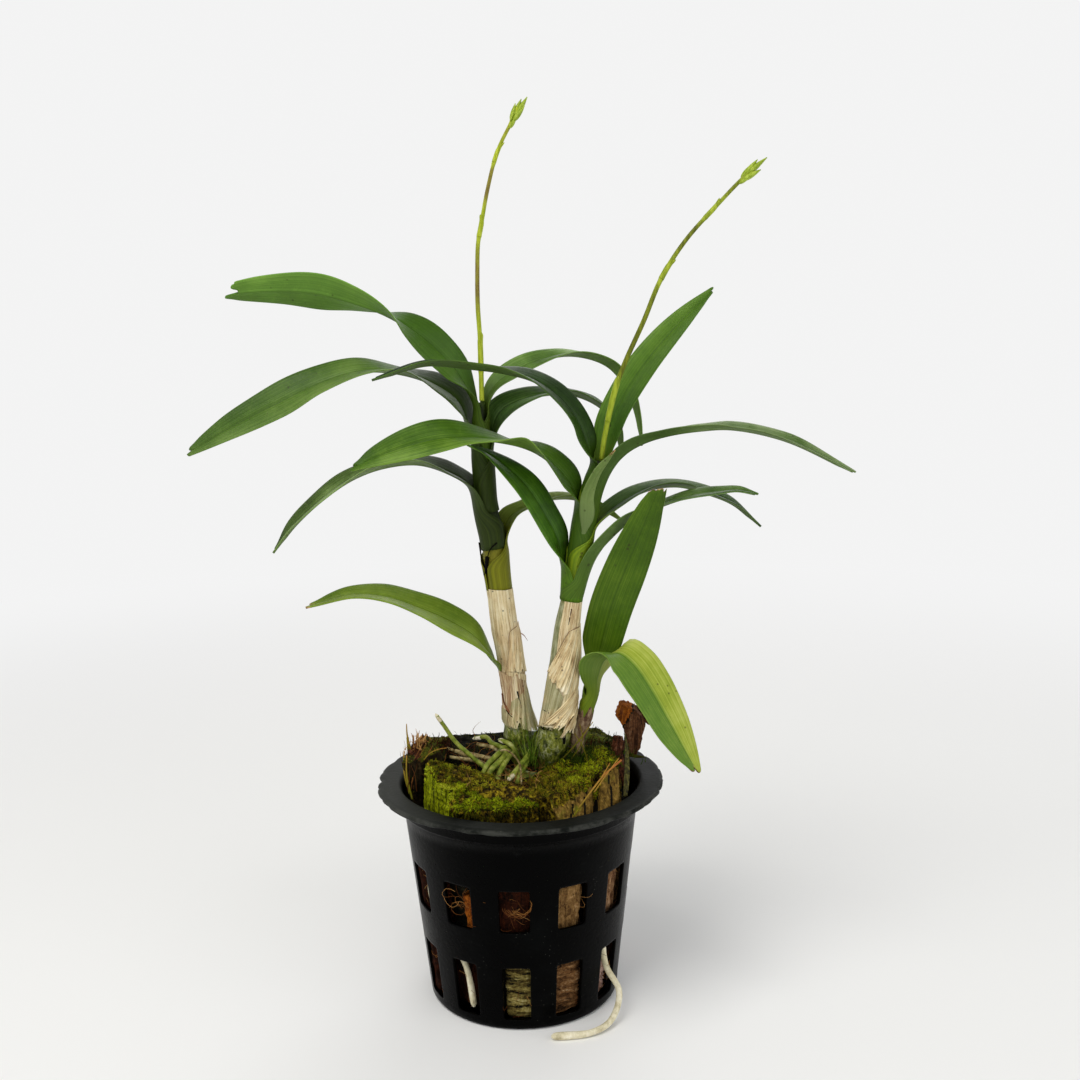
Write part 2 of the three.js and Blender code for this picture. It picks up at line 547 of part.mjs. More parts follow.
// The room inside the pot and above its mouth that chunks may fill.
function mediumRoom() {
  const inside = (z) => bodyRadius(z) - WALL - GAP;
  return turned([
    [0, FLOOR + GAP],
    [inside(FLOOR), FLOOR + GAP],
    [inside(POT_HEIGHT - 2), POT_HEIGHT - 2],
    [inside(POT_HEIGHT - 2), POT_HEIGHT + GAP],
    [RIM_RADIUS, POT_HEIGHT + GAP],
    [RIM_RADIUS, CHUNK_TOP],
    [0, CHUNK_TOP],
  ], POT_SEGMENTS);
}

function ringRows({ prefix, low, high, tints }) {
  const middle = (low + high) / 2;
  const { width, depth, spacing } = RING_BLOCK;
  const reach = bodyRadius(middle) - depth / 2;
  return tints.map((tint, i) => {
    const angle = RING_FIRST_ANGLE + (360 * i) / tints.length;
    const radians = THREE.MathUtils.degToRad(angle);
    return {
      name: `${prefix}_${i + 1}`,
      centre: [reach * Math.sin(radians), -reach * Math.cos(radians), middle],
      size: [width, depth, high - low - spacing],
      turn: [3 * Math.sin(3.1 * i), 3 * Math.cos(2.3 * i), angle],
      tint,
      cuts: 2,
    };
  });
}

function medium(plantHalo) {
  const rows = [...CHUNKS, ...RING_LAYERS.flatMap(ringRows)];
  const room = mediumRoom();
  let taken = plantHalo;
  return rows.map((row, seed) => {
    const solid = largestBody(chunkSolid(row, seed).intersect(room).subtract(taken));
    taken = taken.add(chunkSolid(row, seed, GAP));
    return toMesh(row.name, solid, material(row.tint));
  });
}

// ---- the plant in its pot ----

const object = new THREE.Group();
object.name = 'dendrobium_orchid';
object.add(netPot());

const stalks = { cane_left: CANE_LEFT, cane_right: CANE_RIGHT, young_shoot: SHOOT };
for (const [name, rows] of Object.entries(stalks)) {
  object.add(toMesh(name, tube(rows, STALK_MESH), material('stalk')));
}
const stalkHalo = Object.values(stalks)
  .map((rows) => tube(rows, { ...STALK_MESH, grow: GAP }))
  .reduce((all, one) => all.add(one));

const rhizomeWith = (grow) => SURFACE_ROOTS.reduce(
  (solid, root) => solid.add(tube(root, { ...SURFACE_ROOT_MESH, grow })),
  tube(RHIZOME, { ...RHIZOME_MESH, grow }),
);
const rhizome = largestBody(rhizomeWith(0).subtract(stalkHalo));
object.add(toMesh('rhizome_with_surface_roots', rhizome, material('root')));

const rhizomeHalo = rhizomeWith(GAP);
const longRoots = { root_to_floor: ROOT_RIGHT, root_in_pot: ROOT_LEFT };
let plantHalo = stalkHalo.add(rhizomeHalo);
for (const [name, rows] of Object.entries(longRoots)) {
  const root = largestBody(tube(rows, ROOT_MESH).subtract(rhizomeHalo));
  object.add(toMesh(name, root, material('root')));
  plantHalo = plantHalo.add(tube(rows, { ...ROOT_MESH, grow: GAP }));
}

LEAVES.forEach((row) => object.add(leaf(row)));
SPIKES.forEach((row) => object.add(spike(row)));
medium(plantHalo).forEach((mesh) => object.add(mesh));

export default object;
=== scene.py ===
"""Looks for the dendrobium orchid in its net pot. Lengths are in millimetres until a mesh is made."""

import itertools
import json
import math

import bmesh
import bpy
import numpy as np
from mathutils import Matrix, Vector
from mathutils.kdtree import KDTree


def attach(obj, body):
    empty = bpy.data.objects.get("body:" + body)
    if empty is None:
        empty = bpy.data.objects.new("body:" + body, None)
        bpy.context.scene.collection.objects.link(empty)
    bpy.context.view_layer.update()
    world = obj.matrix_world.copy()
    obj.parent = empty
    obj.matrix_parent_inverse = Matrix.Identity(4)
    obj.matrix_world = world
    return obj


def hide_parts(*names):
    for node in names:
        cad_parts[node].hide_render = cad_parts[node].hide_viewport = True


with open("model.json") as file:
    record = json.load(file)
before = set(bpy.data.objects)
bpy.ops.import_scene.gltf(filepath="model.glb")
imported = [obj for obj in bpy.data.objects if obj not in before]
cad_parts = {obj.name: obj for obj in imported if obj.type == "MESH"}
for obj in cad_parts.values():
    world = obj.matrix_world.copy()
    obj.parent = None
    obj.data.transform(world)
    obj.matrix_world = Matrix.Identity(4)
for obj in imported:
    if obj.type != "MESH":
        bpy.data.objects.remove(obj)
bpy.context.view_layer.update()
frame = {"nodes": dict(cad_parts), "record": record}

MM = 0.001
RANDOM = np.random.default_rng(9039)

# ---- sizes ----

POT_HEIGHT = 85
RIM_RADIUS = 55
RIM_THICKNESS = 1.8
BODY_TOP_RADIUS = 46
BODY_BOTTOM_RADIUS = 36.5
COLLAR_RADIUS = 46.9
COLLAR_LOW = 76.2
WALL = 1.4
FLOOR = 1.8
# Slots: how many in a row, half of one's width and the first one's place, in degrees, and each row's
# lower and upper edge.
SLOT_COUNT = 12
SLOT_HALF_ANGLE = 7.7
SLOT_PHASE = -3.2
SLOT_ROWS = [(4.2, 25.8), (40.4, 57.2)]

BLADE_THICKNESS = 0.8
CLASP_LENGTH = 8
CLASP_CLEAR = 0.95
# Along a blade, where its wrapped foot begins to open and where it lies open.
CLASP_OPENING = (CLASP_LENGTH, CLASP_LENGTH + 16)
SHEATH_CLEAR = 0.12

# Each stalk, and further on each spike, the rhizome and both long roots: rows of [x, y, z, radius].
CANE_LEFT = [
    [0.4, 4, 87, 2.6], [0.2, 4, 91, 3.6], [-0.2, 4, 96, 5.1], [-0.7, 4, 100.5, 5.8], [-1, 4, 105, 5.2],
    [-1.6, 4, 118, 4.5], [-3.2, 4, 132, 4.7], [-4.7, 4.5, 142, 5], [-6.4, 5, 158.4, 4.8],
    [-7.8, 5, 170, 4.7], [-9.1, 5, 181, 4.5], [-10.8, 5.5, 192, 4],
    [-11.5, 6, 205, 3.2], [-12, 6, 218, 2.5], [-11.6, 6, 228.5, 1.7],
]
CANE_RIGHT = [
    [11, -3.4, 87, 2.4], [11, -3.6, 91, 3.4], [11.3, -3.8, 94.5, 5.2], [12, -3.7, 98.5, 6.5],
    [13.2, -3.5, 102, 6.6], [14, -3.3, 106, 6.3], [15.4, -3.5, 115, 6.1], [17.5, -4, 131, 5.7],
    [18.7, -4, 144.6, 4.8], [20.5, -4, 155, 4.1], [22.9, -4, 170, 3.8], [25.3, -4, 181.4, 3.6],
    [27.3, -4.5, 192, 3.3], [29.4, -5, 200, 2.6], [31.6, -5, 207, 1.7],
]
SHOOT = [
    [21.5, -1, 86, 2.9], [21.5, -1, 91, 2.9], [22.1, -1, 100, 2.4], [24.9, -1.5, 108, 2.4],
    [27.3, -2, 117.4, 2.1], [28.4, -2.4, 124, 1.5],
]

# Each leaf: its stalk and the height at which it leaves that, its heading in degrees from +X, its full
# width, how far each half folds up and how far its foot wraps the stalk, in degrees, and its midrib as
# rows of [x, y, z, turn]. A standoff moves its foot out from the stalk.
LEAVES = [
    dict(name="leaf_left_1", stalk=CANE_LEFT, at=219, heading=192, width=16, fold=14, clasp=65, spine=[
        [-19, 5, 238.6, 48], [-27.6, 3, 249, 60], [-37, 1, 257, 34], [-45, 0, 262, -4],
        [-58, 0, 266.8, -36], [-72, 0, 270, -62], [-89, 1, 270.8, -60], [-105, 2, 270, -50]]),
    dict(name="leaf_left_2", stalk=CANE_LEFT, at=204, heading=190, width=18, fold=16, clasp=70, spine=[
        [-19, 5, 228.5, 32], [-27, 3, 235.6, 24], [-39, 1, 240.6, 2], [-54.5, -1, 242, 16],
        [-69.5, -2, 238, 32], [-85.5, -2, 230.6, 50], [-102, -2, 222.4, 56], [-119, -2, 212.8, 44]]),
    dict(name="leaf_left_3", stalk=CANE_LEFT, at=181, heading=184, width=15, fold=20, spine=[
        [-16.5, 4.5, 198, 14], [-24, 3, 203.6, 16], [-35, 1, 207.6, 2], [-48, 0, 206.8, 0],
        [-60, 0, 202.6, 8], [-72, 0, 194.6, 18], [-83, 0, 184.4, 18], [-90, 0, 175.3, 10]]),
    dict(name="leaf_left_4", stalk=CANE_LEFT, at=220, heading=45, width=11, fold=20, clasp=50, spine=[
        [-6, 10, 235.4, 14], [6, 14, 242.6, 14], [22, 18, 246, 4], [36, 20, 242, 14],
        [43.6, 21, 233.5, 26], [47.8, 22, 222, 40], [49.4, 22, 211, 44]]),
    dict(name="leaf_left_5", stalk=CANE_LEFT, at=203, heading=30, width=13, fold=20, clasp=60, spine=[
        [-5.6, 9, 224.4, 26], [6, 13, 230.4, 16], [22, 16, 231.4, 4], [32.5, 17, 227, 22],
        [38.4, 18, 220.6, 16], [41.2, 18, 208.7, 6]]),
    dict(name="leaf_left_6", stalk=CANE_LEFT, at=169, heading=46, width=9, fold=22, clasp=60, spine=[
        [-2, 10, 185, 10], [4, 12, 188.6, 10], [13.4, 14, 191.4, 8], [22.3, 15, 191.4, 8],
        [31, 15, 188.4, 8], [41.4, 15, 181.6, 4]]),
    dict(name="leaf_left_7", stalk=CANE_LEFT, at=119, heading=205, width=15, fold=16, clasp=50, spine=[
        [-9, -1, 134, 12], [-15, -3, 141, 40], [-25, -5, 148.5, 46], [-36, -7, 154.3, 34],
        [-48.5, -8, 159, 22], [-61, -9, 160, 15], [-76.6, -9, 155.6, 9]]),
    dict(name="leaf_right_1", stalk=CANE_RIGHT, at=197, heading=62, width=12, fold=16, clasp=50, spine=[
        [35.6, -1.5, 220, 4], [41, -0.5, 231, 4], [47.4, 0, 240.6, 4], [55.8, 1, 250.6, 4],
        [64.8, 2, 259.8, 4], [73.6, 3, 267.8, 4]]),
    dict(name="leaf_right_2", stalk=CANE_RIGHT, at=198, heading=198, width=14, fold=18, clasp=55, spine=[
        [27.6, -8, 212, 48], [24, -9.5, 222.6, 48], [17.4, -11, 231.4, 38], [8.6, -12, 237.7, 22],
        [-2, -13, 241, 6], [-14.4, -14, 242.8, -2], [-30, -15, 244, 0], [-48, -15, 238.7, 0]]),
    dict(name="leaf_right_3", stalk=CANE_RIGHT, at=181, heading=199, width=17, fold=16, clasp=50, spine=[
        [22, -8.5, 197.6, 42], [15.4, -11.5, 207, 36], [9.2, -13, 212.2, 14], [3, -14, 215, -8],
        [-6.4, -16, 217.2, 10], [-16.3, -18, 218.4, 26], [-26, -20, 218, 44],
        [-36, -21, 215.8, 52], [-46.7, -21, 212.2, 48], [-56.3, -21, 208, 34]]),
    dict(name="leaf_right_4", stalk=CANE_RIGHT, at=157, heading=197, width=13, fold=14, clasp=60, spine=[
        [15.9, -8.8, 179, 54], [10.6, -10, 190, 58], [4.4, -9.5, 199.4, 56], [-2.6, -8, 206.2, 44],
        [-9.5, -6, 210.8, 26], [-15.5, -5, 213.4, 14]]),
    dict(name="leaf_right_5", stalk=CANE_RIGHT, at=186, heading=-40, width=10, fold=26, clasp=50, spine=[
        [34.8, -8.8, 204.4, 0], [40.4, -9, 210.9, 0], [47.4, -8, 214.8, 0], [56.5, -7.4, 217.4, 0],
        [68.3, -6.5, 218.9, 0], [80, -5.4, 219, 0], [100, -3, 214.1, 4], [126, 0, 201, 4]]),
    dict(name="leaf_right_6", stalk=CANE_RIGHT, at=174, heading=28, width=12, fold=20, clasp=55, spine=[
        [35.4, -0.5, 188.4, 8], [43.8, 3, 193.4, 6], [53, 6.5, 196.2, 0], [63, 8.5, 196.4, 4],
        [72.6, 10, 193.4, 18], [83.5, 10, 188.6, 26], [93, 10, 180, 16]]),
    dict(name="leaf_right_7", stalk=CANE_RIGHT, at=155, heading=-32, width=11, fold=18, clasp=60, spine=[
        [29.4, -6.5, 172.6, 0], [35.8, -4, 179.6, 0], [44.1, -1, 185.8, 4], [56.5, 0, 190.8, 12],
        [66.2, -1, 193.6, 18], [75.8, -2, 194.9, 20], [83.3, -2, 195.2, 16], [89.4, -2, 193.5, 10]]),
    dict(name="leaf_right_8", stalk=CANE_RIGHT, at=179, heading=-88, width=4.4, fold=10, clasp=26,
         standoff=1.8, spine=[[26.8, -12.4, 195, 10], [29.6, -14.6, 202.6, 26], [35.8, -16.4, 211.2, 20]]),
    dict(name="leaf_shoot_1", stalk=SHOOT, at=116, heading=80, width=16.4, fold=8, clasp=60, tip="cut",
         spine=[[31, 1, 133, 0], [35.6, -3.2, 152, 0], [41, -6.5, 167.2, 0], [46.4, -8.5, 180.8, 0],
                [52.4, -10, 196.4, 0]]),
    dict(name="leaf_shoot_2", stalk=SHOOT, at=111, heading=-55, width=21, fold=12, clasp=60, spine=[
        [29.4, -6.6, 126.5, 0], [32, -9, 134, 0], [37, -11.5, 136.6, 0], [42.5, -13.5, 133, 0],
        [48, -16, 125.5, 0], [54, -19.5, 115, 0], [60, -23, 104, 0], [64.7, -26, 95.2, 0]]),
]

SPIKE_LEFT = [
    [-11.4, 6, 229.2, 0.95], [-11.4, 6, 240, 0.9], [-11.5, 6, 252.5, 0.85], [-12, 6, 264, 0.85],
    [-11.8, 5, 276, 0.8], [-11.2, 4, 286.3, 0.78], [-9.8, 3.2, 293, 0.75], [-7.2, 2, 305, 0.7],
    [-3.4, 0.6, 317.6, 0.65], [2.1, -1, 327.8, 0.65], [4.6, -1.6, 332, 0.7],
]
SPIKE_RIGHT = [
    [32.3, -5.9, 207.7, 0.95], [34, -7.6, 219, 0.95], [37.4, -8.8, 233.4, 0.92], [41, -9, 242.9, 0.9],
    [47.8, -9, 257.6, 0.88], [54, -8, 271.9, 0.85], [62.9, -7, 285.3, 0.78], [75, -5.7, 298.2, 0.72],
    [82.2, -5, 305.4, 0.72], [87, -5, 309.5, 0.8],
]

RHIZOME = [[-6, 4, 82, 3], [-1, 3.6, 81.8, 4], [11.6, -2.6, 81.8, 4.2], [21.5, -1, 84.5, 3.6]]
# Roots over the medium, from foot to tip: look, foot and tip radius, whether the tip is pale, places.
ROOT_RUNS = [
    ("root_green", 0.95, 0.75, True, [
        (-4, 1, 86), (-8, -7, 90.5), (-11.1, -11, 91.5), (-14.1, -10, 93.2), (-18.6, -9, 96.9),
        (-24.2, -8, 102.1), (-27.8, -8, 107.7), (-30.7, -8, 112.1)]),
    ("root_green", 1.0, 0.8, True, [
        (-1, 2, 90), (-6.4, 0, 96.3), (-10.7, 4, 97), (-13.2, 8, 98.1), (-17.6, 10, 97)]),
    ("root_green", 1.0, 0.85, True, [(0, 0, 90), (-2.8, -3, 98), (-5.1, -1, 99), (-7.5, 2, 98.8)]),
    ("root_green", 1.2, 1.05, False, [
        (-2, 2, 91), (-5.5, -2, 96.9), (-7, -5, 96.6), (-9.6, -9, 95.5), (-12.1, -12, 93.7), (-14, -14, 90)]),
    ("root_green", 1.15, 1.0, False, [
        (-2, 1, 91), (-4.4, -3, 96.1), (-5.8, -8, 95.5), (-8.4, -12, 94.2), (-10.6, -14, 92.6),
        (-12, -16, 89)]),
    ("root_green", 1.1, 0.95, False, [
        (-1, 0, 90), (-2.9, -3, 94.8), (-5.1, -9, 94.2), (-6.5, -13, 92.9), (-7.6, -15, 91.3),
        (-8.4, -17, 88)]),
    ("root_green", 1.1, 0.95, True, [
        (4, 0, 92), (3.7, -4, 95.9), (2.9, -8, 95.3), (0.3, -13, 93.6), (-2.7, -17, 91.2),
        (-3.6, -18.3, 90.6)]),
    ("root_green", 1.1, 0.95, False, [
        (3, -3, 91), (2.9, -8, 94.1), (1.7, -12, 92.4), (-0.1, -15, 90.8), (-1, -17, 88)]),
    ("root_tan", 0.45, 0.3, False, [
        (-7, -6, 97.2), (-5.2, -9, 98.6), (-2.7, -11, 97.8), (0, -14, 95.1), (0.7, -18, 91.9),
        (0.8, -20, 88.7)]),
    ("root_tan", 1.0, 0.7, False, [(-6, 0, 90), (-11.3, -4, 93.4), (-19.2, 0, 94.1), (-25, 2, 94.7)]),
    ("root_tan", 0.9, 0.6, False, [(-9, -8, 90), (-15, -7, 93.3), (-20.9, -4, 93.5), (-26.7, -3, 94.1)]),
    ("root_tan", 0.8, 0.5, False, [(-18, 0, 92), (-22.2, 0, 94.2), (-23.9, 2, 94.3), (-28.3, 4, 95.3)]),
    ("root_tan", 0.9, 0.6, False, [(-6, 4, 91), (-9.9, 2, 95.6), (-13.1, 4, 95.8), (-16.7, 6, 96)]),
]

ROOT_RIGHT = [
    [12, -8.2, 80, 1.3], [22, -12, 62, 1.2], [29, -16.5, 40, 1.2], [31.2, -20.4, 17, 1.2],
    [36, -26, 9, 1.15], [32.5, -35, 2.7, 1.15], [25, -41, 1.4, 1.15], [11, -43, 1.25, 1.1],
    [10.2, -43.1, 1.2, 0.5],
]
ROOT_LEFT = [
    [-5.2, 0.6, 77.5, 1.2], [-21, -8, 68, 1.2], [-34, -16.6, 52, 1.2], [-31, -20.4, 36, 1.1],
    [-21.3, -28, 22, 1.1], [-18.6, -28.4, 6, 1], [-18.5, -28.4, 5, 0.4],
]


# ---- numbers ----

def smoothstep(value, low, high):
    """0 at low, 1 at high, and smooth between them."""
    x = np.clip((value - low) / (high - low), 0, 1)
    return x * x * (3 - 2 * x)


def lerp(low, high, part):
    return low + (high - low) * part


# Large odd numbers that scatter a noise cell's place and its seed over the BITS.
CELL_SCATTER = (374761393, 668265263, 1440662683)
SEED_SCATTER = 1013904223
LAST_SCATTER = 1274126177
BITS = 0xFFFFFFFF


def value_noise(points, seed=0):
    """Smooth noise from -1 to 1 at points given in noise cells."""
    cell = np.floor(points).astype(np.int64)
    part = points - cell
    part = part * part * (3 - 2 * part)
    total = 0
    for corner in itertools.product((0, 1), repeat=3):
        mixed = ((cell + corner) @ np.array(CELL_SCATTER) + seed * SEED_SCATTER) & BITS
        mixed = ((mixed ^ (mixed >> 13)) * LAST_SCATTER) & BITS
        weight = np.prod(np.where(corner, part, 1 - part), axis=-1)
        total = total + weight * ((mixed ^ (mixed >> 16)) / 2 ** 32)
    return 2 * total - 1


def layered_noise(points, cell, octaves=3, seed=0):
    """Noise whose cells are `cell` millimetres wide, or one size for each axis."""
    scaled = np.asarray(points, float) / cell
    return sum(value_noise(scaled * 2 ** i, seed + i) / 2 ** i for i in range(octaves)) / 1.6


def grid_points(x, y=0.0, z=0.0):
    """Points whose coordinates are grids of one size, or that broadcast to it."""
    return np.stack(np.broadcast_arrays(x, y, z), axis=-1)


def from_centre(points):
    """The distance of points from the pot's axis."""
    return np.hypot(points[:, 0], points[:, 1])


def smooth_path(rows, step):
    """Rows of [x, y, z, ...] as an even, smooth path, with the distance along it."""
    rows = np.asarray(rows, float)
    rows = np.vstack([2 * rows[0] - rows[1], rows, 2 * rows[-1] - rows[-2]])
    spans = np.sqrt(np.linalg.norm(np.diff(rows[:, :3], axis=0), axis=1))
    samples = 24
    u = np.linspace(0, 1, samples, endpoint=False)[:, None]
    parts = []
    for i in range(1, len(rows) - 2):
        a, b, c, d = rows[i - 1:i + 3]
        before, here, after = spans[i - 1:i + 2]
        leave = ((b - a) / before - (c - a) / (before + here) + (c - b) / here) * here
        enter = ((c - b) / here - (d - b) / (here + after) + (d - c) / after) * here
        parts.append((2 * u**3 - 3 * u**2 + 1) * b + (u**3 - 2 * u**2 + u) * leave
                     + (3 * u**2 - 2 * u**3) * c + (u**3 - u**2) * enter)
    dense = np.vstack([*parts, rows[-2:-1]])
    length = np.r_[0, np.cumsum(np.linalg.norm(np.diff(dense[:, :3], axis=0), axis=1))]
    along = np.linspace(0, length[-1], max(4, round(length[-1] / step)) + 1)
    return np.stack([np.interp(along, length, column) for column in dense.T], axis=1), along


def unit(vectors):
    return vectors / np.linalg.norm(vectors, axis=-1, keepdims=True)


def stalk_at(stalk, z):
    """The centre and radius of a stalk at height z, as [x, y, z, radius]."""
    rows = np.asarray(stalk, float)
    return np.array([np.interp(z, rows[:, 2], rows[:, column]) for column in range(4)])


def around(angle):
    """The outward direction in plan at an angle in degrees from the front, positive to the right."""
    radians = np.radians(angle)
    return np.stack([np.sin(radians), -np.cos(radians), np.zeros_like(radians)], axis=-1)


# ---- meshes ----

class Shape:
    """Collects parts of one mesh: points, faces, a material for each face, and named fields."""

    def __init__(self):
        self.points = []
        self.faces = []
        self.looks = []
        self.fields = {}
        self.count = 0

    def add(self, points, faces, look=0, **fields):
        points = np.asarray(points, float).reshape(-1, 3)
        self.points.append(points)
        self.faces.append([tuple(int(i) + self.count for i in face) for face in faces])
        self.looks.append(np.broadcast_to(look, (len(faces),)))
        for name, values in fields.items():
            values = np.broadcast_to(np.asarray(values, float), (len(points),))
            self.fields.setdefault(name, []).append((self.count, values))
        self.count += len(points)

    def make(self, name, looks, slot, replaces=(), smooth=True):
        mesh = bpy.data.meshes.new(name)
        points = np.vstack(self.points)
        mesh.from_pydata((points * MM).tolist(), [], list(itertools.chain(*self.faces)))
        for look in looks:
            mesh.materials.append(look)
        mesh.polygons.foreach_set("material_index", np.concatenate(self.looks).astype(np.int32))
        mesh.polygons.foreach_set("use_smooth", np.full(len(mesh.polygons), smooth))
        for field, parts in self.fields.items():
            values = np.zeros(len(points), np.float32)
            for start, part in parts:
                values[start:start + len(part)] = part
            mesh.attributes.new(field, "FLOAT", "POINT").data.foreach_set("value", values)
        mesh.update()
        obj = bpy.data.objects.new(name, mesh)
        bpy.context.collection.objects.link(obj)
        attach(obj, "root")
        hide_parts(*replaces)
        return obj


def grid_faces(rows, columns, wrap=False):
    """Quads over a grid of points; wrap joins the last column to the first."""
    row, column = np.mgrid[0:rows - 1, 0:columns if wrap else columns - 1]
    a = (row * columns + column).ravel()
    b = (row * columns + (column + 1) % columns).ravel()
    return np.stack([a, b, b + columns, a + columns], axis=1)


def tube(path, sides, relief=None):
    """Points and faces of a closed tube along rows of [x, y, z, radius].

    relief(angle, along) gives a height in millimetres to add to the radius.
    """
    centres, radii = path[:, :3], path[:, 3]
    tangents = unit(np.gradient(centres, axis=0))
    side = np.array([0.0, -1.0, 0.0])
    if abs(tangents[0] @ side) > 0.9:
        side = np.array([1.0, 0.0, 0.0])
    sides_along = []
    for tangent in tangents:
        side = side - tangent * (side @ tangent)
        side = side / np.linalg.norm(side)
        sides_along.append(side)
    first = np.array(sides_along)
    second = np.cross(tangents, first)
    angle = np.linspace(0, 2 * np.pi, sides, endpoint=False)
    along = np.r_[0, np.cumsum(np.linalg.norm(np.diff(centres, axis=0), axis=1))]
    radius = np.repeat(radii[:, None], sides, axis=1)
    if relief is not None:
        radius = radius + relief(*np.meshgrid(angle, along))
    ring = (first[:, None] * np.cos(angle)[None, :, None] + second[:, None] * np.sin(angle)[None, :, None])
    points = centres[:, None] + ring * radius[..., None]
    count = len(centres)
    faces = grid_faces(count, sides, wrap=True).tolist()
    points = np.vstack([points.reshape(-1, 3), centres[:1], centres[-1:]])
    low, high = count * sides, count * sides + 1
    last = (count - 1) * sides
    for i in range(sides):
        after = (i + 1) % sides
        faces.append((after, i, low))
        faces.append((last + i, last + after, high))
    return points, faces


def sheet(upper, lower):
    """A closed thin sheet between two grids of points of the same size."""
    rows, columns = upper.shape[:2]
    under = rows * columns
    top = grid_faces(rows, columns)
    faces = [*top.tolist(), *(top[:, ::-1] + under).tolist()]
    border = [
        *range(columns - 1),
        *(row * columns + columns - 1 for row in range(rows - 1)),
        *((rows - 1) * columns + column for column in range(columns - 1, 0, -1)),
        *(row * columns for row in range(rows - 1, 0, -1)),
    ]
    for a, b in zip(border, border[1:] + border[:1]):
        faces.append((b, a, under + a, under + b))
    return np.vstack([upper.reshape(-1, 3), lower.reshape(-1, 3)]), faces


# ---- materials ----

def rgb(code):
    """A colour written as hexadecimal red, green and blue, made linear."""
    values = [int(code[i:i + 2], 16) / 255 for i in (0, 2, 4)]
    return (*(v / 12.92 if v < 0.04045 else ((v + 0.055) / 1.055) ** 2.4 for v in values), 1.0)


class Look:
    """A node material, built by calls that return sockets. A colour may be given as its code."""

    def __init__(self, name, **constants):
        self.material = bpy.data.materials.new(name)
        self.material.use_nodes = True
        self.tree = self.material.node_tree
        self.tree.nodes.clear()
        self.shader = self.tree.nodes.new("ShaderNodeBsdfPrincipled")
        output = self.tree.nodes.new("ShaderNodeOutputMaterial")
        self.tree.links.new(self.shader.outputs[0], output.inputs["Surface"])
        for socket, value in constants.items():
            self.feed(self.shader.inputs[socket.replace("_", " ")], value)
        self.place = self.node("TexCoord", {}, "Object")

    def feed(self, socket, value):
        """Gives a socket what comes out of another one, a colour or a plain value."""
        if isinstance(value, bpy.types.NodeSocket):
            self.tree.links.new(value, socket)
        else:
            socket.default_value = rgb(value) if isinstance(value, str) else value

    def node(self, kind, inputs, output=0, **settings):
        """Adds a node, feeds its inputs, and returns one output."""
        made = self.tree.nodes.new("ShaderNode" + kind)
        for name, value in settings.items():
            setattr(made, name, value)
        for socket, value in inputs.items():
            self.feed(made.inputs[socket], value)
        return made.outputs[output]

    def field(self, name):
        return self.node("Attribute", {}, "Fac", attribute_name=name)

    def axis(self, index, vector=None):
        return self.node("SeparateXYZ", {0: vector or self.place}, index)

    def math(self, operation, a, b=0.0, c=0.0):
        return self.node("Math", {0: a, 1: b, 2: c}, operation=operation)

    def times(self, a, b, plus=0.0):
        return self.math("MULTIPLY_ADD", a, b, plus)

    def from_axis(self):
        """The distance in metres from the pot's axis."""
        x, y = self.axis(0), self.axis(1)
        return self.math("SQRT", self.times(x, x, self.times(y, y)))

    def step(self, value, low, high):
        """0 below low, 1 above high, and smooth between them."""
        inputs = {"Value": value, "From Min": low, "From Max": high}
        return self.node("MapRange", inputs, "Result", interpolation_type="SMOOTHSTEP")

    def stretched(self, scale, vector=None):
        return self.node("Mapping", {"Vector": vector or self.place, "Scale": scale})

    def vector(self, x, y):
        return self.node("CombineXYZ", {0: x, 1: y})

    def noise(self, scale, detail=3.0, vector=None, roughness=0.55, distortion=0.0, output="Fac"):
        inputs = {"Vector": vector or self.place, "Scale": scale, "Detail": detail,
                  "Roughness": roughness, "Distortion": distortion}
        return self.node("TexNoise", inputs, output)

    def warped(self, scale, amount):
        """The place, pushed about by `amount` metres of coarse noise."""
        push = self.noise(scale, 2.0, roughness=0.5, output="Color")
        return self.node("VectorMath", {0: push, 1: (amount,) * 3, 2: self.place}, operation="MULTIPLY_ADD")

    def cells(self, scale, vector=None, feature="F1"):
        inputs = {"Vector": vector or self.place, "Scale": scale}
        return self.node("TexVoronoi", inputs, "Distance", feature=feature)

    def mix(self, part, a, b, amount=1.0, blend="MIX"):
        """The colour a, with b over it to `amount` where part is 1."""
        if amount != 1.0:
            part = self.times(part, amount)
        return self.node("Mix", {0: part, 6: a, 7: b}, 2, data_type="RGBA", blend_type=blend)

    def ramp(self, value, codes, *places):
        """Colours along a value: each at its own place, or evenly from a first to a last one."""
        if len(places) == 2:
            places = np.linspace(*places, len(codes))
        colour = self.node("ValToRGB", {0: value})
        elements = colour.node.color_ramp.elements
        while len(elements) < len(codes):
            elements.new(0.5)
        for element, place, code in zip(elements, places, codes):
            element.position = place
            element.color = rgb(code)
        return colour

    def paint(self, colour, roughness, height=None, depth=0.0002):
        """Colour, roughness, and a relief of `depth` metres from a height of 0 to 1."""
        self.feed(self.shader.inputs["Base Color"], colour)
        self.feed(self.shader.inputs["Roughness"], roughness)
        if height is not None:
            bump = self.node("Bump", {"Strength": 1.0, "Distance": depth, "Height": height})
            self.feed(self.shader.inputs["Normal"], bump)
        return self.material


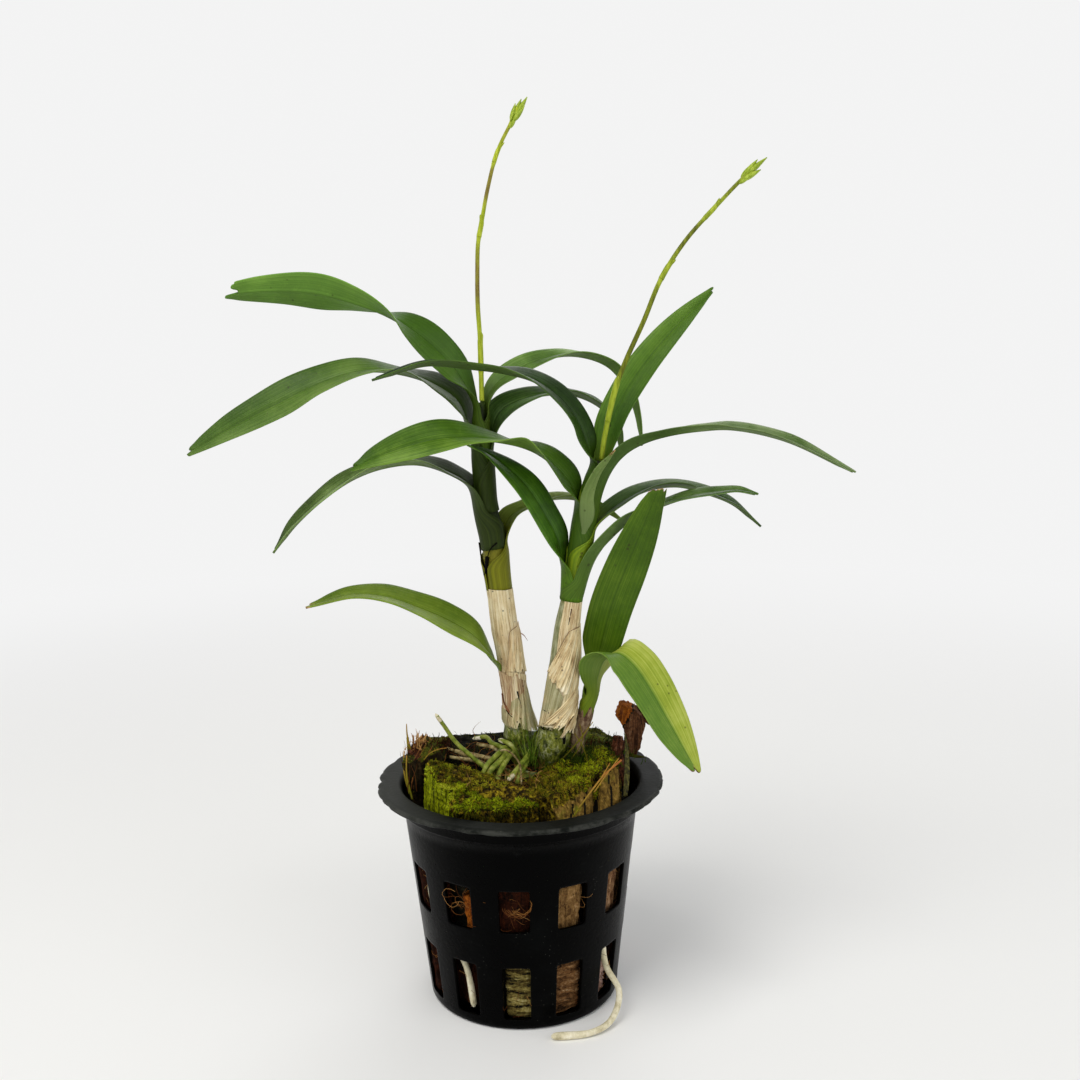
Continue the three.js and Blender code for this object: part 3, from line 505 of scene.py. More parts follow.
def pot_look():
    """Black plastic: a little gloss on the walls, a greyer worn flange with a painted sheen on its left side,
    and specks of grit.
    """
    look = Look("pot_plastic", Specular_IOR_Level=0.035)
    smear = look.noise(38, 5, roughness=0.65)
    grime = look.noise(150, 6, roughness=0.75)
    body = look.mix(look.step(smear, 0.45, 0.8), "000000", "040505")
    worn = look.mix(look.step(smear, 0.35, 0.7), "0e100e", "20221e")
    worn = look.mix(look.step(grime, 0.5, 0.72), worn, "0c0d0b")
    edge = look.times(look.step(look.from_axis(), 0.0532, 0.0545), look.step(grime, 0.4, 0.6))
    worn = look.mix(edge, worn, "545550", 0.4)
    # The flange's left side is painted lighter: a painted sheen from the light at the left.
    painted_left_sheen = look.step(look.axis(0), -0.018, -0.05)
    worn = look.mix(painted_left_sheen, worn, "4a4b47", 0.45)
    rim = look.step(look.axis(2), 0.0822, 0.0838)
    colour = look.mix(rim, body, worn)
    colour = look.mix(look.step(grime, 0.62, 0.8), colour, "5b5d58", 0.07)
    specks = look.step(look.cells(620), 0.12, 0.06)
    grit = look.times(specks, look.step(smear, 0.5, 0.6))
    colour = look.mix(grit, colour, "8c8c80", 0.2)
    roughness = look.times(rim, 0.2, look.times(smear, 0.35, 0.12))
    scratches = look.noise(90, 4, look.stretched((1, 1, 0.15)))
    height = look.times(scratches, 0.6, look.noise(700))
    return look.paint(colour, roughness, height, 0.0001)


def leaf_look(name, tones, shaded, yellow):
    """Leaf skin: veins run along the blade, greyer beneath, with its sheath's own colours.

    One half is painted darker than the other, and the midrib's groove darker, as painted shade. The
    blade's first `shaded` metres are darker as painted shade, and a yellow one is paler on one half.
    """
    deep, mid, pale, sheath_dark, sheath_light = tones.split()
    look = Look(name, Specular_IOR_Level=0.17, Subsurface_Weight=0.05, Subsurface_Scale=0.001,
                Subsurface_Radius=(0.4, 1.0, 0.15))
    across, along, under, tip = map(look.field, ("across", "along", "under", "tip"))
    edge = look.math("ABSOLUTE", across)
    lines = look.vector(look.times(across, 9.0), look.times(along, 0.012))
    veins = look.noise(1.5, 4, lines, 0.65)
    fine = look.noise(5.5, 3, lines, 0.8)
    patches = look.noise(42, 4, roughness=0.6)
    mottle = look.noise(420, 4, roughness=0.7)
    shade = look.times(look.math("SUBTRACT", patches, 0.5), 1.3, look.times(veins, 1.3, -0.15))
    # One half of the blade is painted lighter and the other darker: painted light and shade across it.
    shade = look.times(across, 0.16, shade)
    colour = look.ramp(shade, (deep, mid, pale), 0.18, 0.82)
    threads = look.step(fine, 0.58, 0.34)
    colour = look.mix(threads, colour, deep, 0.4)
    colour = look.mix(look.step(mottle, 0.5, 0.72), colour, pale, 0.2)
    if yellow:
        half = look.step(look.times(veins, 0.2, across), 0.06, 0.34)
        colour = look.mix(half, colour, look.ramp(shade, ("72871c", "8f9e30", "b0b858"), 0.25, 0.5, 0.8))
    # The midrib's groove is darkened: painted shade in the crease.
    groove = look.step(edge, 0.05, 0.012)
    colour = look.mix(groove, colour, deep, 0.55)
    rim = look.step(edge, 0.94, 1.0)
    colour = look.mix(rim, colour, pale, 0.45)
    colour = look.mix(under, colour, "6c8440", 0.28)
    if shaded:
        # The blade's base is darkened toward its sheath's dark colour: painted shade near the stalk.
        base = look.step(along, shaded + 0.007, shaded - 0.007)
        colour = look.mix(base, colour, sheath_dark, 0.6)
    sheath = look.mix(look.step(veins, 0.25, 0.75), sheath_dark, sheath_light)
    colour = look.mix(look.step(along, 0.022, 0.004), colour, sheath)
    specks = look.step(look.times(patches, 0.5, look.cells(260)), 0.36, 0.28)
    colour = look.mix(specks, colour, "2a2410", 0.6)
    withered = look.step(look.times(mottle, 0.35, tip), 1.02, 1.14)
    colour = look.mix(withered, colour, look.mix(look.step(mottle, 0.4, 0.6), "5b3a1e", "b89c6a"))
    roughness = look.times(under, 0.15, look.times(mottle, 0.3, 0.28))
    height = look.times(fine, 0.55, look.times(mottle, 0.35))
    return look.paint(colour, roughness, height, 0.00012)


def paper_look():
    """Dry leaf sheath: pale papery skin with lengthwise fibres, brown stains and dark specks."""
    look = Look("sheath_paper", Specular_IOR_Level=0.15)
    lines = look.vector(look.field("across"), look.times(look.field("along"), 0.03))
    fibre = look.noise(1.0, 5, lines, 0.75)
    fine = look.noise(3.4, 4, lines, 0.8)
    stains = look.noise(95, 4, roughness=0.6)
    grain = look.times(fibre, 0.45, look.times(fine, 0.35))
    shade = look.times(stains, 0.2, grain)
    colour = look.ramp(shade, ("6e5232", "bca074", "e2ce9e", "f8eed0"), 0.39, 0.45, 0.5, 0.58)
    splits = look.step(look.noise(1.6, 4, lines, 0.75), 0.38, 0.33)
    colour = look.mix(splits, colour, "4a3420", 0.75)
    blush = look.step(look.noise(60), 0.5, 0.66)
    colour = look.mix(blush, colour, "c9a478", 0.35)
    green = look.times(look.field("green"), look.step(stains, 0.28, 0.6))
    colour = look.mix(green, colour, look.mix(look.step(grain, 0.34, 0.46), "686c3a", "b4b286"))
    brown = look.times(look.field("brown"), look.step(fibre, 0.6, 0.4))
    colour = look.mix(brown, colour, "94684a")
    specks = look.step(look.cells(300), 0.13, 0.07)
    colour = look.mix(specks, colour, "2c2015", 0.75)
    return look.paint(colour, 0.7, look.times(fine, 0.5, fibre), 0.0007)


def cane_look():
    """Living cane: netted bulb, stem and green upper part, told apart by height; the top is darkened as
    painted shade under the leaves.
    """
    look = Look("cane_green", Specular_IOR_Level=0.2)
    streak = look.noise(1.0, 4, look.stretched((1300, 1300, 45)), 0.7)
    patches = look.noise(95, 4)
    blotches = look.noise(210, 5, roughness=0.7)
    net = look.cells(620, look.stretched((1, 1, 0.55), look.warped(350, 0.0022)), "DISTANCE_TO_EDGE")
    creases = look.noise(1.0, 4, look.stretched((560, 560, 240)), 0.7)
    bulb = look.ramp(look.times(creases, 0.7, look.times(patches, 0.3)),
                     ("1a2004", "444c0e", "6c7222", "a0a056"), 0.38, 0.46, 0.54, 0.64)
    veins = look.times(look.step(net, 0.16, 0.03), look.step(blotches, 0.45, 0.62))
    bulb = look.mix(veins, bulb, "c2c498", 0.45)
    bulb = look.mix(look.step(blotches, 0.42, 0.35), bulb, "171c08")
    middle = look.mix(look.step(streak, 0.4, 0.65), "70744a", "aaa986")
    middle = look.mix(look.step(blotches, 0.36, 0.31), middle, "1c1c12")
    upper = look.mix(look.step(streak, 0.32, 0.7), "68650c", "7c7918")
    # The cane's top, from 176 mm up, is painted dark: painted shade under the leaves.
    dark = look.mix(look.step(patches, 0.4, 0.65), "161f04", "30400c")
    height = look.axis(2)
    colour = look.mix(look.step(height, 0.108, 0.114), bulb, middle)
    colour = look.mix(look.step(height, 0.153, 0.157), colour, upper)
    colour = look.mix(look.step(height, 0.176, 0.184), colour, dark)
    relief = look.times(net, 0.8, look.math("ADD", streak, blotches))
    return look.paint(colour, look.times(patches, 0.25, 0.4), relief, 0.00035)


def spike_look(name, lime, dark):
    """Spike skin: lime where the field `tone` is 0, and olive or purplish where it is 1."""
    look = Look(name, Specular_IOR_Level=0.18)
    streak = look.noise(1.0, 4, look.stretched((900, 900, 120)), 0.65)
    lines = look.step(streak, 0.35, 0.65)
    part = look.times(look.math("SUBTRACT", look.noise(260), 0.5), 0.7, look.field("tone"))
    colour = look.mix(look.step(part, 0.1, 0.9), look.mix(lines, *lime), look.mix(lines, *dark))
    return look.paint(colour, 0.42, streak, 0.00012)


def streaked_look(name, colours, lines, rough=0.6):
    """A skin whose colours run in streaks: `lines` are cells a metre along X, Y and Z."""
    look = Look(name, Specular_IOR_Level=0.2)
    streak = look.noise(1.0, 5, look.stretched(lines), 0.65)
    shade = look.times(look.noise(600, 4, roughness=0.7), 0.4, look.times(streak, 0.6))
    return look.paint(look.ramp(shade, colours.split(), 0.36, 0.64), rough, shade)


def overgrown(look, colour, fine, moss, lichen):
    """Moss over a colour where it lies open to the sky, and lichen in patches."""
    upward = look.axis(2, look.node("NewGeometry", {}, "Normal"))
    patches = look.noise(70, 4, roughness=0.65)
    cover = look.times(upward, 0.55, look.math("ADD", patches, moss - 0.9))
    green = look.mix(look.step(patches, 0.38, 0.62), "15180a", "45480e")
    green = look.mix(look.step(fine, 0.5, 0.7), green, "80801c")
    colour = look.mix(look.step(cover, 0.05, 0.2), colour, green)
    thin = look.math("ADD", patches, lichen - 0.6)
    return look.mix(look.step(thin, 0.0, 0.25), colour, "7d9418", 0.75)


def wood_look(name, colours, lines, moss=0.0, lichen=0.0, cracked=0.42, spread=0.16):
    """Husk or bark: layered grain with dark cracks, and what grows on it.

    More is cracked as `cracked` rises, and the colours lie closer together as `spread` falls.
    """
    look = Look(name, Specular_IOR_Level=0.08)
    grain = look.noise(1.0, 6, look.stretched(lines), 0.7, 0.4)
    fine = look.noise(900, 4, roughness=0.75)
    shade = look.times(fine, 0.35, look.times(grain, 0.65))
    colour = look.ramp(shade, colours.split(), 0.5 - spread, 0.5 + spread)
    cracks = look.step(look.noise(1.3, 5, look.stretched(lines), 0.8, 0.8), cracked, cracked - 0.08)
    colour = look.mix(cracks, colour, "0b0805")
    if moss or lichen:
        colour = overgrown(look, colour, fine, moss, lichen)
    height = look.math("SUBTRACT", shade, look.times(cracks, 0.6))
    return look.paint(colour, 0.85, height, 0.0009)


def strand_look(name, colours):
    """Thin strands, each with its own tone from 0 to 1, darkened at the foot as painted shade."""
    look = Look(name, Specular_IOR_Level=0.05)
    colour = look.ramp(look.field("tone"), colours.split(), 0.0, 1.0)
    # Painted shade: a strand darkens toward its foot, where the strands crowd.
    foot_shade = look.mix(look.step(look.field("rise"), 0.0, 0.7), (0.14, 0.14, 0.12, 1), "ffffff")
    return look.paint(look.mix(1.0, colour, foot_shade, blend="MULTIPLY"), 0.75)


# Each look, by the name that the pieces use. Colours run from dark to pale, and the three numbers are
# cells a metre along X, Y and Z.
LOOKS = {
    "pot": pot_look(),
    "paper": paper_look(),
    "cane": cane_look(),
    "spike_left": spike_look("spike_lime", ("8c9a1a", "b2be38"), ("6c5a2c", "8a8030")),
    "spike_right": spike_look("spike_olive", ("788818", "a0ae30"), ("4a5008", "727a14")),
    "shoot": streaked_look("shoot_sheath", "2c1c14 5c4030 8f765a bba888", (700, 700, 50)),
    "stub": streaked_look("shoot_green", "35500e 5f7a1c 86982c", (700, 700, 60)),
    "bud": streaked_look("bud_lime", "6a801a 8fa42c b4c254", (900, 900, 200), 0.5),
    "root_green": streaked_look("root_green", "3c4a0e 5e6c18 848c34 a8aa68", (160, 160, 160), 0.55),
    "root_pale": streaked_look("root_pale", "a89c78 d8cfae f0ead4", (200, 200, 120), 0.7),
    "root_tan": streaked_look("root_tan", "2c2414 75643a a89868 cabf94", (260, 260, 260), 0.7),
    "strap": streaked_look("dead_leaf", "120f08 32300e 545020 746a34", (1100, 1100, 40)),
    "bark": wood_look("bark_brown", "22160c 5a4022 8e6c40 b4946a", (420, 420, 70)),
    "strips": wood_look("bark_strips", "140c06 54341e 94704e c4a07c", (900, 900, 30)),
    "layered": wood_look("bark_layered", "120a06 4c321a 805c38 b89c74", (90, 90, 420), cracked=0.44),
    "yellowish": wood_look("bark_yellow", "0e0a04 4c3e1c 928448 ccc08a", (90, 90, 420), cracked=0.47),
    "pinkish": wood_look("bark_pink", "5a4034 957262 c4a394 dac4b6", (260, 260, 160)),
    "husk": wood_look("husk_rust", "2c1206 743a0e a85e1c cc8638", (420, 420, 200)),
    "husk_skin": wood_look("husk_skin", "160c06 3e2414 66422a 8e6c50", (520, 520, 60)),
    "husk_shade": wood_look("husk_shade", "0c0603 2e160a 5e3420 b08264", (420, 420, 200), cracked=0.46),
    "husk_dark": wood_look("husk_dark", "060302 1a0a04 34160a 4c230f", (420, 420, 120)),
    "peat": wood_look("peat", "070603 171208 2c2210 443820", (380, 380, 380), moss=0.16),
    "charcoal": wood_look("charcoal", "040403 0c0b08 1c1a12 34301e", (320, 320, 320)),
    "slab": wood_look("moss_slab", "080602 2e2406 665410 a89420", (450, 450, 300),
                      cracked=0.46, spread=0.1),
    # The left slab's upright face, painted brighter than its top to make up for the shade it stands in:
    # painted light.
    "slab_face_painted_light": wood_look("moss_slab_face_painted_light", "181c02 5c6404 9ca60a c4d028", (900, 900, 36),
                             cracked=0.46, spread=0.12),
    "wood_face": wood_look("wood_face", "241a08 54401a 84682e b0904e", (700, 700, 60),
                           lichen=0.1, cracked=0.4),
    "moss": strand_look("moss_strands", "14160a 44440a 7c7a12 b0ac2a"),
    # The moss painted brighter and yellower: painted light on the crest and the lit clumps.
    "moss_painted_light": strand_look("moss_strands_painted_light", "404c04 78880a a6b414 c6d238"),
    "grass": strand_look("grass_tuft", "182206 4a6412 8c9c3a"),
    "fibre": strand_look("husk_fibres", "2e160a 643a1c 8f602f ba9058"),
    "straw": strand_look("straw", "2c2a0e 6e6a16 a07a34 b06c38"),
    "scar": strand_look("sheath_scars", "0a0806 33190e 80543a"),
}


# ---- pot ----

SLOT_CORNER = 1.1
# How much the slot's two edges are drawn in, so that its lip looks rounded.
SLOT_LIP = 0.25
# How far each ring round a slot lies from the slot's edge to its cell's.
CELL_RINGS = (0, 0.02, 0.1, 0.3, 0.6, 1)
# Points along each side of a slot and round each corner.
PER_SIDE, PER_CORNER = 10, 4
# The heights between which the wall is made of cells.
WALL_LOW, WALL_HIGH = 1, 66
# Places bitten out of the flange's edge: angle and half-width in degrees, and depth.
BITES = [(-88, 3.2, 1.7), (-80, 1.5, 0.9), (-27, 7, 1.0), (-14, 2.5, 0.8), (38, 4, 0.7)]
# Radii of the floor's rings, which of them its slots cross, and the slots' angles in degrees.
FLOOR_RINGS = (1, 8, 15.9, 16, 30, 30.1, 33.2)
FLOOR_SLOT_RING = 3
FLOOR_SLOT_SPACING = 60
FLOOR_SLOT_HALF_ANGLE = 7


def body_radius(z):
    """The radius of the tapering wall's outside at a height."""
    return lerp(BODY_BOTTOM_RADIUS, BODY_TOP_RADIUS, z / POT_HEIGHT)


def quarter_turns(point, quarters):
    """A point turned counter-clockwise about the origin."""
    for _ in range(quarters):
        point = (-point[1], point[0])
    return point


def slot_cell(low, high, bottom, top):
    """One slot and the wall round it: rings of [angle, z] from the slot's edge to the cell's."""
    middle = (low + high) / 2
    radius = body_radius(middle)
    half_sizes = (radius * math.radians(SLOT_HALF_ANGLE), (high - low) / 2)
    cell_half_angle = 180 / SLOT_COUNT
    count = PER_SIDE + PER_CORNER
    inner = []
    outer = []
    for quarter in range(4):
        across = half_sizes[quarter % 2] - SLOT_CORNER
        down = half_sizes[1 - quarter % 2] - SLOT_CORNER
        for i in range(count):
            # Each quarter runs along one side, counter-clockwise, then round the corner after it.
            if i < PER_SIDE:
                point = (lerp(-across, across, i / PER_SIDE), -down - SLOT_CORNER)
            else:
                turn = math.radians(90 * (i - PER_SIDE) / PER_CORNER)
                point = (across + SLOT_CORNER * math.sin(turn), -down - SLOT_CORNER * math.cos(turn))
            passed = (i + PER_CORNER / 2) / count
            edge = (2 * passed - 1, -1) if passed <= 1 else (1, 2 * (passed - 1) - 1)
            x, z = quarter_turns(point, quarter)
            inner.append((math.degrees(x / radius), middle + z))
            x, z = quarter_turns(edge, quarter)
            outer.append((x * cell_half_angle, lerp(bottom, top, (z + 1) / 2)))
    inner, outer = np.array(inner), np.array(outer)
    return np.array([lerp(inner, outer, part) for part in CELL_RINGS])


def slotted_wall(shape):
    """The wall: a cell round each slot, with an outer and an inner skin joined by the slot's lip."""
    between = (SLOT_ROWS[0][1] + SLOT_ROWS[1][0]) / 2
    for (low, high), (bottom, top) in zip(SLOT_ROWS, [(WALL_LOW, between), (between, WALL_HIGH)]):
        cell = slot_cell(low, high, bottom, top)
        rings, size = cell.shape[:2]
        count = rings * size
        skin = grid_faces(rings, size, wrap=True)
        here = np.arange(size)
        after = (here + 1) % size
        lip = np.stack([here, count + here, count + after, after], axis=1)
        faces = [*skin[:, ::-1].tolist(), *(skin + count).tolist(), *lip.tolist()]
        radius = body_radius(cell[..., 1:])
        height = cell[..., 1:] * np.array([0, 0, 1])
        for i in range(SLOT_COUNT):
            way = around(cell[..., 0] + SLOT_PHASE + 360 * i / SLOT_COUNT)
            outside = way * radius + height
            inside = way * (radius - WALL) + height
            outside[0] -= way[0] * SLOT_LIP
            inside[0] += way[0] * SLOT_LIP
            shape.add(np.vstack([outside.reshape(-1, 3), inside.reshape(-1, 3)]), faces)


def turned(profile, angles):
    """A ring of points round the axis for each [radius, z] of a profile."""
    radius, z = np.array(profile).T[..., None, None]
    return around(angles) * radius + np.array([0, 0, 1]) * z


def flange(angles):
    """Rings from the wall's outside, up the collar, round the flange and down the inside."""
    top, low = POT_HEIGHT, POT_HEIGHT - RIM_THICKNESS
    profile = [
        *((body_radius(z), z) for z in (WALL_HIGH, 71, COLLAR_LOW)),
        (COLLAR_RADIUS - 0.25, COLLAR_LOW + 0.35), (COLLAR_RADIUS, COLLAR_LOW + 0.9),
        (COLLAR_RADIUS, low - 0.5), (COLLAR_RADIUS + 0.5, low), (51, low), (RIM_RADIUS - 0.6, low),
        (RIM_RADIUS - 0.1, low + 0.4), (RIM_RADIUS, low + 0.9), (RIM_RADIUS - 0.2, top - 0.35),
        (RIM_RADIUS - 0.8, top), (52, top - 0.1), (49, top - 0.1), (COLLAR_RADIUS + 0.2, top),
        (COLLAR_RADIUS - 0.5, top - 0.2), (COLLAR_RADIUS - 1.1, top - 1.2),
        (body_radius(82) - WALL, 80), (body_radius(74) - WALL, 74),
        (body_radius(WALL_HIGH) - WALL, WALL_HIGH),
    ]
    rings = turned(profile, angles)
    reach = smoothstep(np.array(profile)[:, :1], 50, RIM_RADIUS)
    edge = around(angles) * RIM_RADIUS
    worn = 1.1 * np.clip(layered_noise(edge, 2.6, 3, seed=5) - 0.05, 0, 1)
    worn = worn + 0.9 * np.clip(layered_noise(edge, 11, 2, seed=8) - 0.25, 0, 1)
    for centre, width, depth in BITES:
        apart = (angles - centre + 180) % 360 - 180
        worn = worn + depth * np.exp(-(apart / width) ** 2)
    rings[..., :2] *= (1 - reach * worn / RIM_RADIUS)[..., None]
    rings[..., 2] -= 0.35 * reach * np.clip(layered_noise(edge, 17, 2, seed=3) + 0.3, 0, 1)
    return rings


def foot(angles):
    """Rings from the wall's outside, round the foot's edge and over the floor to the inside."""
    return turned([
        (body_radius(WALL_LOW), WALL_LOW), (BODY_BOTTOM_RADIUS - 0.4, 0.25), (BODY_BOTTOM_RADIUS - 1.2, 0),
        (33, 0), (33, FLOOR), (body_radius(FLOOR) - WALL - 0.6, FLOOR),
        (body_radius(WALL_LOW) - WALL, WALL_LOW),
    ], angles)


def net_pot():
    """The pot's wall, flange and foot, welded into one surface."""
    shape = Shape()
    slotted_wall(shape)
    count = SLOT_COUNT * (PER_SIDE + PER_CORNER)
    angles = np.sort(np.round((SLOT_PHASE + 360 * np.arange(count) / count) % 360, 5))
    for rings, way in ((flange(angles), 1), (foot(angles), -1)):
        shape.add(rings.reshape(-1, 3), grid_faces(len(rings), count, wrap=True)[:, ::way].tolist())
    pot = shape.make("net_pot_moulded", [LOOKS["pot"]], "pot_plastic", ["net_pot"])
    welded = bmesh.new()
    welded.from_mesh(pot.data)
    bmesh.ops.remove_doubles(welded, verts=welded.verts, dist=0.02 * MM)
    bmesh.ops.recalc_face_normals(welded, faces=welded.faces)
    welded.to_mesh(pot.data)
    welded.free()


def pot_floor():
    """The drained floor: a disc with six slots between its spokes."""
    segments = 144
    half_spacing = FLOOR_SLOT_SPACING / 2
    angles = np.linspace(0, 360, segments, endpoint=False)
    quads = grid_faces(len(FLOOR_RINGS), segments, wrap=True)
    from_slot = np.abs((angles[quads[:, 0] % segments] + half_spacing) % FLOOR_SLOT_SPACING - half_spacing)
    in_slot = (quads[:, 0] // segments == FLOOR_SLOT_RING) & (from_slot < FLOOR_SLOT_HALF_ANGLE)
    lower = [*quads[~in_slot].tolist(), list(range(segments))[::-1]]
    count = len(FLOOR_RINGS) * segments
    upper = [[i + count for i in face[::-1]] for face in lower]
    edges = {edge for face in lower for edge in zip(face, face[1:] + face[:1])}
    walls = [[b, a, a + count, b + count] for a, b in sorted(edges) if (b, a) not in edges]
    disc = turned([(radius, 0) for radius in FLOOR_RINGS], angles).reshape(-1, 3)
    shape = Shape()
    shape.add(np.vstack([disc + [0, 0, 0.02], disc + [0, 0, FLOOR - 0.02]]), lower + upper + walls)
    shape.make("net_pot_floor", [LOOKS["pot"]], "pot_plastic", smooth=False)


# ---- leaves ----

# The colours of each leaf: deep, middle and pale skin, then its sheath's dark and light.
LEAF_TONES = {
    "leaf_left_1": "375e0d 4e7c1f 74a139 2a3f08 516b16",
    "leaf_left_2": "345013 4b6823 6b863d 1d2b06 34440d",
    "leaf_left_3": "24350a 465f20 7e9755 192405 38470f",
    "leaf_left_4": "355117 58792e 85a358 2a3c09 516617",
    "leaf_left_5": "1d3209 355219 5d7c39 202e07 394810",
    "leaf_left_6": "445714 657824 889b42 525407 868719",
    "leaf_left_7": "445d0b 5a7019 788d2e 536c15 6c822d",
    "leaf_right_1": "32530b 496c18 618429 506f0c 7b921c",
    "leaf_right_2": "112403 243f0b 446220 233f06 45610f",
    "leaf_right_3": "2c4a07 446610 729233 284607 456010",
    "leaf_right_4": "162b04 355b09 58811c 2f5307 5b7d17",
    "leaf_right_5": "2d4610 516b33 8d9e6e 2a4608 4a6210",
    "leaf_right_6": "1b300a 334f1f 5a743b 48680c 84971a",
    "leaf_right_7": "26400c 456324 769153 314e0c 56721e",
    "leaf_right_8": "4f642e 74874b 95a66b 516633 778953",
    "leaf_shoot_1": "304a04 415f07 5f7a1b 45640c 728818",
    "leaf_shoot_2": "466a19 608028 839a42 49680f 849520",
}
USUAL_SHEATH = 15
# Sheaths of another length.
SHEATH_LENGTHS = {
    "leaf_left_3": 8, "leaf_left_6": 10.6, "leaf_left_7": 0, "leaf_right_4": 1.5, "leaf_right_6": 12,
    "leaf_right_7": 0.6, "leaf_right_8": 0, "leaf_shoot_1": 7, "leaf_shoot_2": 4,
}
# How far along each blade its painted shade at the base reaches, in metres.
SHADED_BASES = {"leaf_left_1": 0.055, "leaf_left_2": 0.05, "leaf_left_3": 0.036, "leaf_right_3": 0.036,
                "leaf_right_5": 0.05}
# The notch in a tip: how far one lobe stands past the other, its depth, its width and the tip's.
NOTCH = (1.4, 2.6, 0.2, 0.22)
NOTCHES = {"leaf_left_1": (-3.4, 6.0, 0.4, 0.4)}
# Leaves whose foot ends in a point instead of a sheath.
POINTED_FEET = ("leaf_left_7", "leaf_right_8")
# How much higher than its `at` a leaf leaves the stalk. It skips the first place of its spine.
RAISED_FEET = {"leaf_left_7": 5.5}
RAISED_SEAT = 2
RAISED_OPENING = (1, 12)
# How much of the tip has withered.
DRY_TIPS = {"leaf_left_7": 4.0, "leaf_shoot_1": 2.6, "leaf_shoot_2": 1.6, "leaf_right_8": 2.0}
YELLOW_LEAVES = ("leaf_shoot_2",)


def leaf_path(row, outward, raised, sheath, clear):
    """A leaf's midrib, up the stalk and out along the blade, with the distance past its sheath."""
    at = row["at"] + raised
    seats = []
    for z in np.linspace(at - sheath, at + (RAISED_SEAT if raised else CLASP_LENGTH), 2 + round(sheath / 4)):
        x, y, _, radius = stalk_at(row["stalk"], z)
        off = radius + lerp(SHEATH_CLEAR, clear, smoothstep(z, at - sheath, at + CLASP_LENGTH))
        seats.append([x + outward[0] * off, y + outward[1] * off, z, 0])
    spine = row["spine"][1:] if raised else row["spine"]
    path, along = smooth_path([*seats, *spine], 1.4)
    return path, along - sheath


def leaf_frame(path, along, outward, seed):
    """Directions ahead, across and out of a leaf, turned about its midrib as its rows say."""
    level = np.array([-outward[1], outward[0], 0])
    ahead = unit(np.gradient(path[:, :3], axis=0))
    up = unit(np.cross(ahead, level))
    flat = np.cross(up, ahead)
    turn_sign = 1 if outward[0] >= 0 else -1
    waver = 0.06 * value_noise(grid_points(along / 22), seed)
    turn = (turn_sign * np.radians(path[:, 3]) + waver)[:, None]
    return ahead, flat * np.cos(turn) + up * np.sin(turn), up * np.cos(turn) - flat * np.sin(turn)


def leaf_outline(fraction, tip_width):
    """A blade's width along it, as a part of its full width."""
    widening = 1 - 0.3 * (1 - fraction / 0.5) ** 2
    narrowing = 1 - (1 - tip_width) * np.clip((fraction - 0.5) / 0.5, 0, 1) ** 2.3
    return np.where(fraction < 0.5, widening, narrowing)


def leaf_end(u, cut, name, seed):
    """How far a blade's tip reaches ahead, across its width."""
    if cut:
        return -1.6 * u + 0.9 * value_noise(grid_points(u * 5), seed)
    lobe, notch, notch_width, _ = NOTCHES.get(name, NOTCH)
    return lobe * smoothstep(u, -0.1, 0.1) - notch * np.exp(-(u / notch_width) ** 2) - 1.5 * np.abs(u) ** 3


def leaf_skins(surface, outward, opened, near_tip, u, half, thick):
    """A leaf's upper and lower skin: a groove above the midrib, a keel under it, and veins."""
    mm_across = u * np.maximum(half, 0.5)
    veins = sum(np.exp(-((np.abs(u) - place) / 0.035) ** 2) for place in (0.24, 0.45, 0.66, 0.84))
    fade = opened * (1 - near_tip)
    groove = -0.22 * np.exp(-(mm_across / 0.42) ** 2)
    keel = 0.30 * np.exp(-(mm_across / 0.5) ** 2)
    ribs = 0.06 * veins
    skin = thick / 2 * (1 - 0.66 * np.abs(u) ** 6)
    upper = surface + outward * (skin + fade * (groove + ribs))[..., None]
    lower = surface - outward * (skin + fade * (keel + ribs))[..., None]
    return upper, lower


